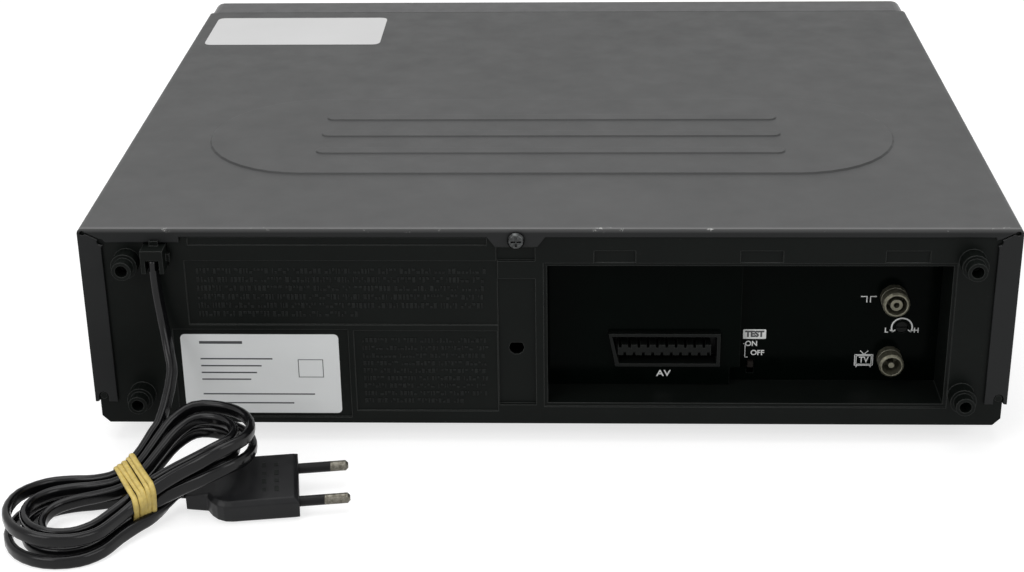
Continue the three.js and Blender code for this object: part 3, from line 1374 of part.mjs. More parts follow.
// The cord's strain relief clip, caught in the rear wall
function cordGland() {
  const w = gland.width / 2;
  const hold = rearWallBack - gap;
  const clip = [rear + gap, rear + gap + gland.tongueDepth];
  const body = block([-w, w], [hold - gland.collar, rear + gland.reach], [glandBottom, glandTop]);
  const collar = block(
    [-w - gland.collar, w + gland.collar], [hold - gland.collar, hold],
    [glandBottom - gland.collar, glandTop + gland.collar],
  );
  const channel = block(
    [-gland.slot / 2, gland.slot / 2],
    [rear + gland.cordY - gland.slotDepth / 2, rear + gland.reach + overrun],
    [glandBottom - overrun, glandBottom + gland.arch],
  );
  const tongue = block(
    [-gland.tongue / 2, gland.tongue / 2], clip, [glandTop - overrun, glandTop + gland.tongueHeight],
  );
  const lugs = block(
    [-w - gland.lug, w + gland.lug], clip,
    [glandBottom + gland.lugHeight, glandBottom + 2 * gland.lugHeight],
  );
  return cut(join(body, collar, tongue, lugs), channel);
}

part('cord_gland', cordGland(), 'rubber', groupAt(glandX, 0, 0));

// The hank lies in its own frame: X along it, Y across it, turned on the floor

const hankTurn = degrees(hank.turn);
const hankCentre = new THREE.Vector3(hank.x, rear + hank.y, 0);
const reverseAt = hank.turns / 2;
const waist = hank.innerGap + reverseAt * hank.step;

// The loops on the plug's side are lifted over it
function riseAt(x) {
  const share = THREE.MathUtils.clamp((hank.riseStart - x) / hank.riseLength, 0, 1);
  return hank.rise * THREE.MathUtils.smoothstep(share, 0, 1);
}

// The band goes under the loops and lifts them a little at the waist
function bandLift(x) {
  const share = THREE.MathUtils.clamp(x / hank.halfRun, -1, 1);
  return ((band.thickness + 2 * gap) * (1 + Math.cos(Math.PI * share))) / 2;
}

// Centre of the cord after so many turns, with the loops drawn in at the waist
function hankPoint(turns) {
  const inward = (reverseAt - Math.abs(turns - reverseAt)) * hank.step;
  const climb = THREE.MathUtils.smoothstep(turns, reverseAt - hank.climbShare, reverseAt + hank.climbShare);
  const arcShare = 0.5 - hank.runShare;
  const along = (turns + hank.startShare * hank.runShare) % 1;
  const farSide = along >= 0.5;
  const share = farSide ? along - 0.5 : along;
  const facing = farSide ? -1 : 1;
  const point = new THREE.Vector2();
  if (share < hank.runShare) {
    const x = -hank.halfRun + 2 * hank.halfRun * (share / hank.runShare);
    const bulge = (1 - Math.cos((Math.PI * x) / hank.halfRun)) / 2;
    point.set(x, -(waist - inward) - (hank.endRadius - waist) * bulge);
  } else {
    const angle = -Math.PI / 2 + (Math.PI * (share - hank.runShare)) / arcShare;
    const radius = hank.endRadius - inward;
    point.set(hank.halfRun + radius * Math.cos(angle), radius * Math.sin(angle));
  }
  point.multiplyScalar(facing);
  const lastRun = turns > hank.turns - hank.runShare;
  const rise = lastRun ? 0 : riseAt(point.x);
  const height = cord.width / 2 + hank.layer * (1 - climb) + rise + bandLift(point.x);
  const turned = new THREE.Vector3(point.x, point.y, height).applyAxisAngle(Z, hankTurn);
  return turned.add(hankCentre);
}

function hankPath() {
  const count = Math.round(hank.turns * hank.stepsPerTurn);
  const loops = Array.from({ length: count + 1 }, (unused, i) => hankPoint((i / count) * hank.turns));
  const onward = (to, from) => new THREE.Vector3().subVectors(to, from).setLength(cord.width);
  const start = loops[0].clone().add(onward(loops[0], loops[1]));
  const end = loops[count].clone().add(onward(loops[count], loops[count - 1]).setZ(0));
  return [start, ...loops, end];
}

// The flat cord's section as shares of half its thickness and half its width
const flatSectionShares = [[1, 0.45], [0, 1], [-1, 0.45], [-1, -0.45], [0, -1], [1, -0.45]];

function flatTube(path) {
  const positions = [];
  path.forEach((centre, i) => {
    const before = path[Math.max(i - 1, 0)];
    const after = path[Math.min(i + 1, path.length - 1)];
    const ahead = new THREE.Vector3().subVectors(after, before).setZ(0).normalize();
    const outward = new THREE.Vector3().crossVectors(ahead, Z);
    for (const [across, up] of flatSectionShares) {
      const point = centre.clone()
        .addScaledVector(outward, (across * cord.thickness) / 2)
        .addScaledVector(Z, (up * cord.width) / 2);
      positions.push(point.x, point.y, point.z);
    }
  });
  return ringsToSolid(positions, [], path.length - 1, flatSectionShares.length);
}

// Least gap between strands of the hank, taken between their section points
function leastGap(path) {
  let least = Infinity;
  const apart = Math.round(hank.stepsPerTurn / 2);
  for (let i = 0; i < path.length; i += 1) {
    for (let j = i + apart; j < path.length; j += 1) {
      const a = path[i];
      const b = path[j];
      const level = Math.hypot(a.x - b.x, a.y - b.y) / cord.thickness;
      const height = Math.abs(a.z - b.z) / cord.width;
      const share = Math.hypot(level, height);
      const distance = a.distanceTo(b);
      least = Math.min(least, distance - distance / share);
    }
  }
  return least;
}

const hankTurns = hankPath();
console.log(`hank: least gap to itself ${leastGap(hankTurns).toFixed(2)} mm`);
part('cord_hank', flatTube(hankTurns), 'cord');

function pathLength(points) {
  return points.slice(1).reduce((sum, point, i) => sum + point.distanceTo(points[i]), 0);
}

// Round section tube along a route, with a step every few diameters
function roundTube(points) {
  const curve = new THREE.CatmullRomCurve3(points, false, 'centripetal');
  const steps = Math.ceil(curve.getLength() / (cord.step * 2 * cord.radius));
  const section = [];
  for (let i = 0; i < cord.sides; i += 1) {
    const angle = (i / cord.sides) * Math.PI * 2;
    section.push([cord.radius * Math.cos(angle), cord.radius * Math.sin(angle)]);
  }
  return solid(new THREE.ExtrudeGeometry(polygon(section), { steps, extrudePath: curve }));
}

function atRear(x, y, z) {
  return new THREE.Vector3(x, rear + y, z);
}

const hankStart = hankTurns[0];
const hankEnd = hankTurns[hankTurns.length - 1];
const startAhead = new THREE.Vector3().subVectors(hankTurns[1], hankStart).normalize();
const endAhead = new THREE.Vector3().subVectors(hankEnd, hankTurns[hankTurns.length - 2]).normalize();

// From the gland down the rear to the hank
const cordRoute = [
  atRear(glandX, gland.cordY, glandBottom + gland.arch - gap),
  atRear(glandX, gland.cordY, glandBottom),
  ...cordDrop.map((place) => atRear(...place)),
  hankStart.clone().addScaledVector(startAhead, -cord.width - cord.radius - gap),
  hankStart.clone().addScaledVector(startAhead, -cord.radius - gap),
];
part('power_cord', roundTube(cordRoute), 'cord');

// The plug lies turned on the floor, one long edge raised
const plugPlace = groupAt(
  plug.faceX, rear + plug.y, (plug.width / 2) * Math.sin(degrees(plug.tilt)), plug.turn,
);
const plugGroup = new THREE.Group();
plugGroup.rotation.x = degrees(-plug.tilt);
plugPlace.add(plugGroup);
plugPlace.updateMatrixWorld(true);

// From the hank into the plug
const plugTail = plugGroup.localToWorld(new THREE.Vector3(plug.neckEnd, 0, plug.height / 2));
const tailAhead = X.clone().applyAxisAngle(Z, degrees(plug.turn));
const leadRoute = [
  hankEnd.clone().addScaledVector(endAhead, gap),
  hankEnd.clone().addScaledVector(endAhead, cord.thickness + gap),
  atRear(...leadBend),
  plugTail.clone().addScaledVector(tailAhead, cord.thickness + gap),
  plugTail.clone().addScaledVector(tailAhead, gap),
];
part('plug_lead', roundTube(leadRoute), 'cord');
console.log(`cord: ${(pathLength(cordRoute) + pathLength(hankTurns) + pathLength(leadRoute)).toFixed(0)} mm`);

// Rubber band round the waist of the hank

function rubberBand() {
  const inner = waist + cord.thickness / 2 + band.slack;
  const low = bandLift(0) - gap;
  const high = cord.width + hank.layer + riseAt(-band.width / 2) + bandLift(0) + gap;
  const shape = (grow) => roundedRectangle(
    [-inner - grow, inner + grow], [low - grow, high + grow], band.corner + grow,
  );
  return cut(
    prism(shape(band.thickness), -band.width / 2, band.width / 2, 'x', { curve: 2 }),
    prism(shape(0), -band.width / 2 - overrun, band.width / 2 + overrun, 'x', { curve: 2 }),
  );
}

part('rubber_band', rubberBand(), 'band', groupAt(hank.x, rear + hank.y, 0, hank.turn));

// Flat two pin plug, pins towards -X

function plugBody() {
  const w = plug.width / 2;
  const body = new THREE.Shape();
  body.moveTo(0, -w);
  body.lineTo(plug.bodyLength, -w);
  body.quadraticCurveTo(plug.bodyLength + plug.neck, -w, plug.bodyLength + plug.shoulder, -w / 2);
  body.lineTo(plug.neckEnd, -cord.width);
  body.lineTo(plug.neckEnd, cord.width);
  body.lineTo(plug.bodyLength + plug.shoulder, w / 2);
  body.quadraticCurveTo(plug.bodyLength + plug.neck, w, plug.bodyLength, w);
  body.lineTo(0, w);
  const flat = prism(body, 0, plug.height, 'z', { curve: 4, edge: plug.edge });
  const profile = polygon([
    [-overrun, 0], [plug.neckEnd + overrun, 0], [plug.neckEnd + overrun, plug.tailTop],
    [plug.bodyLength + plug.neck, plug.height], [-overrun, plug.height],
  ]);
  const tapered = flat.intersect(prism(profile, -w - overrun, w + overrun, 'y'));
  const cuts = [];
  for (const side of [-1, 1]) {
    const y = (side * plug.pinPitch) / 2;
    cuts.push(rod(y, plug.height / 2, plug.pin + plug.pinPlay, -overrun, plug.sleeveLength, 'x'));
  }
  return cut(tapered, cuts);
}

part('plug_body', plugBody(), 'rubber', plugGroup);

function plugPin() {
  return revolve([
    [0, -plug.pinLength], [plug.pin - plug.tip, -plug.pinLength], [plug.pin, -plug.pinLength + plug.tip],
    [plug.pin, plug.sleeveLength - gap], [0, plug.sleeveLength - gap],
  ], 'x');
}

for (const [name, side] of [['plug_pin_left', -1], ['plug_pin_right', 1]]) {
  const group = groupAt(0, (side * plug.pinPitch) / 2, plug.height / 2, 0, plugGroup);
  part(name, plugPin(), 'nickel', group);
}

export default recorder;
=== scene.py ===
"""Looks of a video cassette recorder seen from behind, with its mains cord in a hank.

Metres. X runs across the machine, the front faces -Y, Z points up.
"""

import json
import math
import random

import bmesh
import bpy
from mathutils import Matrix, Vector


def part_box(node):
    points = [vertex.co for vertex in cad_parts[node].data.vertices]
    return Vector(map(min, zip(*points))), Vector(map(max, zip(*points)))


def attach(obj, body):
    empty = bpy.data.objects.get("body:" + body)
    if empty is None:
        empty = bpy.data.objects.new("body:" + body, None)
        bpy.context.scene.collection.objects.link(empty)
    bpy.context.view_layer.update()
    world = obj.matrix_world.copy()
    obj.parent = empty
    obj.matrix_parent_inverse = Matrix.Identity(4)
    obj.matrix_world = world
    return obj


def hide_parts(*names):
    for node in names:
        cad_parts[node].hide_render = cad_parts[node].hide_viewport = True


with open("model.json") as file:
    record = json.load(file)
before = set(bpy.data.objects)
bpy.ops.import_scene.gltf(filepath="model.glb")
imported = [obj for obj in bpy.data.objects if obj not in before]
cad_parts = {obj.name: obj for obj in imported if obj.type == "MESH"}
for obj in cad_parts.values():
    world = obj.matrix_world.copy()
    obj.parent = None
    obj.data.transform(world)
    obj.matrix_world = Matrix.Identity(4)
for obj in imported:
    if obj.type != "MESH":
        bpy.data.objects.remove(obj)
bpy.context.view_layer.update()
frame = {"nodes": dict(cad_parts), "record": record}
nodes = frame["nodes"]

# The machine: the cover's rear edge, highest point and half width, its flat top and the rear wall

ROOT = "recorder"
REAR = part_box("top_cover")[1].y
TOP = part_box("top_cover")[1].z
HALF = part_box("top_cover")[1].x
PRESSING_RISE = 0.0012
COVER_TOP = TOP - PRESSING_RISE
WALL_INSIDE_COVER = 0.0013
REAR_WALL = REAR - WALL_INSIDE_COVER

# Camera: fitted to the edges and the sockets of the photographed machine

IMAGE = (1024, 572)
FOCAL = 1865.4
PRINCIPAL = (520, 220)
CAMERA_PLACE = (-0.0125, 0.7938, 0.3775)
CAMERA_YAW = 1.991
CAMERA_PITCH = 23.331
CAMERA_ROLL = -0.766
SENSOR = 36
NEAREST = 0.01


def make_camera():
    yaw, pitch, roll = (math.radians(a) for a in (CAMERA_YAW, CAMERA_PITCH, CAMERA_ROLL))
    level = math.cos(pitch)
    forward = Vector((math.sin(yaw) * level, -math.cos(yaw) * level, -math.sin(pitch)))
    right = Vector((-math.cos(yaw), -math.sin(yaw), 0))
    up = right.cross(forward)
    turned_right = math.cos(roll) * right + math.sin(roll) * up
    turned_up = -math.sin(roll) * right + math.cos(roll) * up
    data = bpy.data.cameras.new("camera")
    data.sensor_width = SENSOR
    data.lens = SENSOR * FOCAL / IMAGE[0]
    data.shift_x = (IMAGE[0] / 2 - PRINCIPAL[0]) / IMAGE[0]
    data.shift_y = (PRINCIPAL[1] - IMAGE[1] / 2) / IMAGE[0]
    data.clip_start = NEAREST
    camera = bpy.data.objects.new("camera", data)
    turn = Matrix((turned_right, turned_up, -forward)).transposed()
    camera.matrix_world = Matrix.Translation(CAMERA_PLACE) @ turn.to_4x4()
    bpy.context.scene.collection.objects.link(camera)
    bpy.context.scene.camera = camera


make_camera()

# Materials

EDGE_SAMPLES = 6
EDGE_ROUNDING = 0.0005
# Cosines between the rounded and the true direction of a surface, at a full edge and at none
FULL_EDGE, NO_EDGE = 0.80, 0.97
# Upward parts of a surface's direction, where the pale film on top, partly dust and partly painted
# sheen, begins and where it is full
DUST_AND_SHEEN_BEGINS, DUST_AND_SHEEN_FULL = 0.35, 0.90
# Inputs and output of a colour mix
MIX_FACTOR, MIX_FIRST, MIX_SECOND, MIX_RESULT = 0, 6, 7, 2


class Nodes:
    """One material, whose nodes are made by short calls."""

    def __init__(self, name):
        self.material = bpy.data.materials.new(name)
        self.material.use_nodes = True
        self.tree = self.material.node_tree
        self.shader = self.tree.nodes["Principled BSDF"]

    def add(self, kind, **values):
        node = self.tree.nodes.new(kind)
        for key, value in values.items():
            setattr(node, key, value)
        return node

    def link(self, source, target):
        self.tree.links.new(source, target)

    def fix(self, **values):
        """Set sockets of the shader that are the same all over."""
        for key, value in values.items():
            self.shader.inputs[key.replace("_", " ")].default_value = value

    def place(self):
        return self.add("ShaderNodeTexCoord").outputs["Object"]

    def noise(self, scale, detail=4, roughness=0.55, distortion=0.0):
        node = self.add("ShaderNodeTexNoise")
        node.inputs["Scale"].default_value = scale
        node.inputs["Detail"].default_value = detail
        node.inputs["Roughness"].default_value = roughness
        node.inputs["Distortion"].default_value = distortion
        self.link(self.place(), node.inputs["Vector"])
        return node.outputs["Fac"]

    def ramp(self, factor, low, high, dark=0.0, light=1.0):
        node = self.add("ShaderNodeMapRange", clamp=True)
        for key, value in (("From Min", low), ("From Max", high), ("To Min", dark), ("To Max", light)):
            node.inputs[key].default_value = value
        self.link(factor, node.inputs["Value"])
        return node.outputs["Result"]

    def math(self, operation, a, b):
        node = self.add("ShaderNodeMath", operation=operation)
        for socket, value in zip(node.inputs, (a, b)):
            if isinstance(value, (int, float)):
                socket.default_value = value
            else:
                self.link(value, socket)
        return node.outputs["Value"]

    def product(self, a, b):
        return self.math("MULTIPLY", a, b)

    def mix(self, factor, a, b):
        node = self.add("ShaderNodeMix", data_type="RGBA")
        for index, value in ((MIX_FACTOR, factor), (MIX_FIRST, a), (MIX_SECOND, b)):
            if isinstance(value, (int, float)):
                node.inputs[index].default_value = value
            elif isinstance(value, tuple):
                node.inputs[index].default_value = (*value, 1)
            else:
                self.link(value, node.inputs[index])
        return node.outputs[MIX_RESULT]

    def rounded(self, radius):
        """The surface's direction with its edges rounded."""
        node = self.add("ShaderNodeBevel", samples=EDGE_SAMPLES)
        node.inputs["Radius"].default_value = radius
        return node.outputs["Normal"]

    def edges(self, rounded):
        """One where the rounded edges turn away from the surface, zero elsewhere."""
        node = self.add("ShaderNodeVectorMath", operation="DOT_PRODUCT")
        self.link(rounded, node.inputs[0])
        self.link(self.add("ShaderNodeNewGeometry").outputs["Normal"], node.inputs[1])
        return self.ramp(node.outputs["Value"], FULL_EDGE, NO_EDGE, 1.0, 0.0)

    def facing_up(self):
        node = self.add("ShaderNodeSeparateXYZ")
        self.link(self.add("ShaderNodeNewGeometry").outputs["Normal"], node.inputs[0])
        return self.ramp(node.outputs["Z"], DUST_AND_SHEEN_BEGINS, DUST_AND_SHEEN_FULL)

    def bump(self, height, strength, distance, rounded=None):
        node = self.add("ShaderNodeBump")
        if rounded:
            self.link(rounded, node.inputs["Normal"])
        node.inputs["Strength"].default_value = strength
        node.inputs["Distance"].default_value = distance
        self.link(height, node.inputs["Height"])
        self.link(node.outputs["Normal"], self.shader.inputs["Normal"])

    def axis(self, name):
        node = self.add("ShaderNodeSeparateXYZ")
        self.link(self.place(), node.inputs[0])
        return node.outputs[name]


DUST = (0.2, 0.2, 0.195)
# Colours of the painted highlights along rounded edges, on plastic and on metal
PLASTIC_EDGE_HIGHLIGHT = (0.12, 0.125, 0.12)
METAL_EDGE_HIGHLIGHT = (0.5, 0.5, 0.42)
# Scales of the dust's specks and patches and of the gloss, as shares of the colour's own scale
SPECK_SHARE, PATCH_SHARE, GLOSS_SHARE = 9, 0.4, 2.3


def surface(name, color, roughness, metallic=0.0, spread=0.12, uneven=0.06, scale=60, grain=900,
            grain_depth=0.00004, strength=0.25, dust=0.0, shine=0.5, rounding=0.0, edge_highlight=0.0,
            highlight_color=PLASTIC_EDGE_HIGHLIGHT):
    """A surface whose colour and gloss vary softly, over a fine grain, with a little pale dust and,
    where asked, painted highlights in a pale colour along its rounded edges.
    """
    made = Nodes(name)
    dark = tuple(c * (1 - spread) for c in color)
    light = tuple(min(1.0, c * (1 + spread)) for c in color)
    shade = made.mix(made.ramp(made.noise(scale, detail=5), 0.3, 0.7), dark, light)
    if dust:
        specks = made.ramp(made.noise(scale * SPECK_SHARE, detail=8, roughness=0.7), 0.6, 0.78)
        patches = made.ramp(made.noise(scale * PATCH_SHARE, detail=3), 0.4, 0.75)
        shade = made.mix(made.product(made.product(specks, patches), dust), shade, DUST)
    rounded = made.rounded(rounding) if rounding else None
    # Painted highlight: the rounded edges are mixed towards a pale colour, as if they caught the light
    if edge_highlight:
        shade = made.mix(made.product(made.edges(rounded), edge_highlight), shade, highlight_color)
    made.link(shade, made.shader.inputs["Base Color"])
    sheen = made.noise(scale * GLOSS_SHARE, detail=6)
    gloss = made.ramp(sheen, 0.25, 0.75, roughness - uneven, roughness + uneven)
    made.link(gloss, made.shader.inputs["Roughness"])
    made.fix(Metallic=metallic, Specular_IOR_Level=shine)
    made.bump(made.noise(grain, detail=3), strength, grain_depth, rounded)
    return made.material


PAINT_DARK, PAINT_LIGHT = (0.0080, 0.0087, 0.0089), (0.0120, 0.0127, 0.0130)
PAINT_GLOSS_LEAST, PAINT_GLOSS_MOST = 0.40, 0.52
PAINT_SHINE = 0.17
PAINT_GRAIN_DEPTH = 0.00003
# Least and most of the pale film on the cover's upward faces: partly dust, partly painted sheen for the
# light that the top catches
DUST_AND_SHEEN_LEAST, DUST_AND_SHEEN_MOST = 0.0375, 0.0415
# Painted light: the film on top is thinner at the front and thicker at the rear, so the top is lighter
# towards the rear
PAINTED_LIGHT_FRONT_SHARE, PAINTED_LIGHT_REAR_SHARE = 0.85, 1.45
SCUFF_SHARE, SCUFF_GREY = 0.025, (0.10, 0.10, 0.10)
# Painted highlight along the folded rear edge: how much it shows, and its grey
FOLD_HIGHLIGHT_SHARE, FOLD_HIGHLIGHT_GREY = 0.30, (0.30, 0.30, 0.30)
BARE_STEEL = (0.72, 0.72, 0.70)
# The folded rear edge: its height, how far ahead of the rear it begins and ends, and its corners
FOLD_HEIGHT = 0.0018
FOLD_BEGINS, FOLD_ENDS = 0.0022, 0.0004
CORNER_BEGINS, CORNER_ENDS = 0.010, 0.002
# Scales of the patterns in the paint: about so many of their patches lie along one metre
SHADE_SCALE, DUST_AND_SHEEN_SCALE, SCUFF_SCALE, WORN_SCALE = 9, 14, 38, 24
CHIP_SCALE, GLOSS_SCALE, GRAIN_SCALE = 260, 70, 2600


def painted_steel():
    """Satin paint with a fine grain; a pale film on top, partly dust and partly painted sheen, painted
    lighter towards the rear; a painted highlight along the folded rear edge; and bright nicks along the
    folded edges.
    """
    made = Nodes("cover_paint")
    up, back, across = made.axis("Z"), made.axis("Y"), made.axis("X")
    shade = made.mix(made.ramp(made.noise(SHADE_SCALE, detail=3), 0.3, 0.7), PAINT_DARK, PAINT_LIGHT)
    # Partly dust and partly painted sheen: a pale film on upward faces that lightens the top
    dust_and_sheen = made.ramp(made.noise(DUST_AND_SHEEN_SCALE, detail=4), 0.25, 0.75, DUST_AND_SHEEN_LEAST, DUST_AND_SHEEN_MOST)
    # Painted light: the film thickens towards the rear
    dust_and_sheen = made.product(dust_and_sheen, made.ramp(back, -REAR, REAR, PAINTED_LIGHT_FRONT_SHARE, PAINTED_LIGHT_REAR_SHARE))
    shade = made.mix(made.product(made.facing_up(), dust_and_sheen), shade, (1.0, 1.0, 1.0))
    scuffs = made.ramp(made.noise(SCUFF_SCALE, detail=9, roughness=0.72, distortion=0.4), 0.6, 0.74)
    shade = made.mix(made.product(scuffs, SCUFF_SHARE), shade, SCUFF_GREY)
    near_top = made.ramp(up, COVER_TOP - FOLD_HEIGHT, COVER_TOP)
    near_rear = made.ramp(back, REAR - FOLD_BEGINS, REAR - FOLD_ENDS)
    edge = made.product(near_top, near_rear)
    # Painted highlight: a pale line along the fold, where its rounded edge catches light
    shade = made.mix(made.product(edge, FOLD_HIGHLIGHT_SHARE), shade, FOLD_HIGHLIGHT_GREY)
    chips = made.ramp(made.noise(CHIP_SCALE, detail=6, roughness=0.7), 0.62, 0.66)
    corner = made.ramp(made.math("ABSOLUTE", across, 0), HALF - CORNER_BEGINS, HALF - CORNER_ENDS)
    worn = made.math("MAXIMUM", made.ramp(made.noise(WORN_SCALE, detail=2), 0.46, 0.6), corner)
    shade = made.mix(made.product(made.product(edge, chips), worn), shade, BARE_STEEL)
    made.link(shade, made.shader.inputs["Base Color"])
    sheen = made.noise(GLOSS_SCALE, detail=6)
    gloss = made.ramp(sheen, 0.25, 0.75, PAINT_GLOSS_LEAST, PAINT_GLOSS_MOST)
    made.link(gloss, made.shader.inputs["Roughness"])
    made.fix(Specular_IOR_Level=PAINT_SHINE)
    made.bump(made.noise(GRAIN_SCALE, detail=2), 0.35, PAINT_GRAIN_DEPTH, made.rounded(EDGE_ROUNDING))
    return made.material


PIN_TIP_SHARE = 0.43
SLEEVE_EDGE = 0.0001
SLEEVE_BLACK = (0.006, 0.006, 0.0065)
NICKEL_DULL, NICKEL_BRIGHT = (0.085, 0.078, 0.062), (0.21, 0.20, 0.17)
NICKEL_METALNESS = 0.9
DULL_ROUGHNESS, BRIGHT_ROUGHNESS = 0.5, 0.3
SLEEVE_SHINE = 0.15
TARNISH_SCALE, PIN_GRAIN_SCALE = 700, 1800
PIN_GRAIN_DEPTH = 0.00004


def pin_metal():
    """Dull nickel at the tip and a black sleeve over the half nearer the plug."""
    made = Nodes("pin_nickel")
    tip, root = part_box("plug_pin_left")[0].x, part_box("plug_body")[0].x
    sleeve_from = tip + PIN_TIP_SHARE * (root - tip)
    sleeve = made.ramp(made.axis("X"), sleeve_from, sleeve_from + SLEEVE_EDGE)
    tarnish = made.ramp(made.noise(TARNISH_SCALE, detail=7, roughness=0.7), 0.38, 0.66)
    nickel = made.mix(tarnish, NICKEL_DULL, NICKEL_BRIGHT)
    made.link(made.mix(sleeve, nickel, SLEEVE_BLACK), made.shader.inputs["Base Color"])
    metalness = made.ramp(sleeve, 0, 1, NICKEL_METALNESS, 0.0)
    made.link(metalness, made.shader.inputs["Metallic"])
    roughness = made.ramp(tarnish, 0, 1, DULL_ROUGHNESS, BRIGHT_ROUGHNESS)
    made.link(roughness, made.shader.inputs["Roughness"])
    made.fix(Specular_IOR_Level=SLEEVE_SHINE)
    made.bump(made.noise(PIN_GRAIN_SCALE, detail=4), 0.2, PIN_GRAIN_DEPTH)
    return made.material


cover_paint = painted_steel()
case_black = surface(
    "case_black", (0.0040, 0.0050, 0.0044), 0.40, dust=0.10, grain=1500, strength=0.4, shine=0.08,
    rounding=EDGE_ROUNDING, edge_highlight=0.45)
# Painted light: a lighter copy of the case's black, so that the low moulded bars show lighter, as if lit
relief_black = surface(
    "relief_black", (0.0070, 0.0082, 0.0076), 0.4, spread=0.4, scale=300, shine=0.12,
    rounding=EDGE_ROUNDING / 2, edge_highlight=0.15)
front_black = surface(
    "front_black", (0.014, 0.0144, 0.0152), 0.34, uneven=0.04, dust=0.1, shine=0.3,
    rounding=EDGE_ROUNDING)
plate_black = surface(
    "plate_black", (0.0008, 0.0018, 0.0013), 0.2, uneven=0.08, dust=0.05, scale=90, strength=0.1,
    shine=0.02, rounding=EDGE_ROUNDING, edge_highlight=0.12)
socket_black = surface(
    "socket_black", (0.0035, 0.0042, 0.0038), 0.34, dust=0.15, grain=1200, shine=0.1,
    rounding=EDGE_ROUNDING / 2, edge_highlight=0.4)
knob_black = surface("knob_black", (0.011, 0.009, 0.008), 0.4, shine=0.1)
black_screw = surface(
    "black_screw", (0.050, 0.052, 0.052), 0.16, metallic=1.0, spread=0.5, scale=900,
    rounding=EDGE_ROUNDING)
zinc = surface("zinc_steel", (0.56, 0.57, 0.58), 0.34, metallic=0.95, spread=0.1, uneven=0.1, scale=120)
tarnished = surface(
    "tarnished_nickel", (0.135, 0.13, 0.095), 0.42, metallic=0.6, spread=0.35, uneven=0.12, scale=420,
    grain=1400, grain_depth=0.00006, rounding=EDGE_ROUNDING / 2, edge_highlight=0.6, highlight_color=METAL_EDGE_HIGHLIGHT)
turned = surface("turned_aluminium", (0.66, 0.67, 0.68), 0.24, metallic=0.95, spread=0.05, scale=200)
rubber = surface(
    "black_rubber", (0.010, 0.010, 0.010), 0.72, dust=0.2, grain=1100, strength=0.5, shine=0.2,
    rounding=EDGE_ROUNDING)
cord_skin = surface(
    "cord_skin", (0.0035, 0.0035, 0.0040), 0.19, spread=0.2, uneven=0.09, scale=110, dust=0.10,
    grain=700, strength=0.12, shine=0.24)
plug_skin = surface(
    "plug_skin", (0.0080, 0.0082, 0.0090), 0.38, spread=0.15, uneven=0.08, scale=130, dust=0.2,
    grain=1300, strength=0.35, shine=0.2, rounding=2 * EDGE_ROUNDING)
band_skin = surface(
    "band_skin", (0.58, 0.44, 0.125), 0.5, spread=0.16, uneven=0.08, scale=420, grain=2400, strength=0.3)
smoked = surface("smoked_window", (0.004, 0.004, 0.0055), 0.08, uneven=0.02, strength=0.04, shine=0.3)
button_grey = surface("button_grey", (0.04, 0.041, 0.043), 0.4)
resist = surface("green_resist", (0.035, 0.09, 0.03), 0.38, scale=260, spread=0.3)
natural = surface("natural_plastic", (0.66, 0.64, 0.56), 0.45, spread=0.05)
winding = surface("varnished_winding", (0.20, 0.10, 0.05), 0.42, metallic=0.3, spread=0.4, scale=500)
print_white = surface("print_white", (0.72, 0.73, 0.72), 0.5, spread=0.05, scale=500)
label_white = surface(
    "label_white", (0.72, 0.735, 0.735), 0.38, spread=0.02, uneven=0.03, scale=30, strength=0.05)
sticker_white = surface(
    "sticker_white", (0.56, 0.56, 0.56), 0.42, spread=0.02, uneven=0.03, scale=30, strength=0.05)
label_ink = surface("label_ink", (0.05, 0.052, 0.055), 0.45, spread=0.05)
pin_nickel = pin_metal()

finish_of_slot = {
    "cover": cover_paint, "case": case_black, "front": front_black, "jack_plate": plate_black,
    "steel": zinc, "nickel": tarnished, "aluminium": turned, "rubber": rubber, "cord": cord_skin,
    "plug": plug_skin, "band": band_skin, "window": smoked, "button": button_grey, "board": resist,
    "gear": natural, "transformer": winding,
}
finish_of_node = {
    "scart_socket": socket_black, "rf_trimmer": socket_black, "cord_gland": case_black,
    "cover_screw": black_screw, "test_switch": knob_black,
    "plug_pin_left": pin_nickel, "plug_pin_right": pin_nickel,
}
SMOOTH_BELOW = math.radians(32)


def dress(name, finish):
    node = nodes[name]
    node.data.materials.clear()
    node.data.materials.append(finish)
    for polygon in node.data.polygons:
        polygon.use_smooth = True
    node.data.set_sharp_from_angle(angle=SMOOTH_BELOW)


for row in frame["record"]["subparts"]:
    dress(row["node"], finish_of_node.get(row["node"], finish_of_slot[row["material_slot"]]))

# Mesh helpers


def add_piece(name, mesh, finish, smooth=False):
    piece = bpy.data.objects.new(name, mesh)
    bpy.context.scene.collection.objects.link(piece)
    mesh.materials.append(finish)
    for polygon in mesh.polygons:
        polygon.use_smooth = smooth
    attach(piece, ROOT)
    return piece


def mesh_from(name, bm):
    mesh = bpy.data.meshes.new(name)
    bmesh.ops.recalc_face_normals(bm, faces=bm.faces)
    bm.to_mesh(mesh)
    bm.free()
    return mesh


def add_box(bm, low, high):
    """A block between two corners."""
    made = bmesh.ops.create_cube(bm, size=1)
    size = Vector(high) - Vector(low)
    middle = (Vector(high) + Vector(low)) / 2
    for vertex in made["verts"]:
        vertex.co = Vector(a * b for a, b in zip(vertex.co, size)) + middle


def add_sheet(bm, outline, place, thickness):
    """A thin sheet; place turns a flat point and a height into a point of the object."""
    low = [bm.verts.new(place(u, v, 0)) for u, v in outline]
    high = [bm.verts.new(place(u, v, thickness)) for u, v in outline]
    bm.faces.new(low)
    bm.faces.new(high)
    for i in range(len(outline)):
        k = (i + 1) % len(outline)
        bm.faces.new((low[i], low[k], high[k], high[i]))


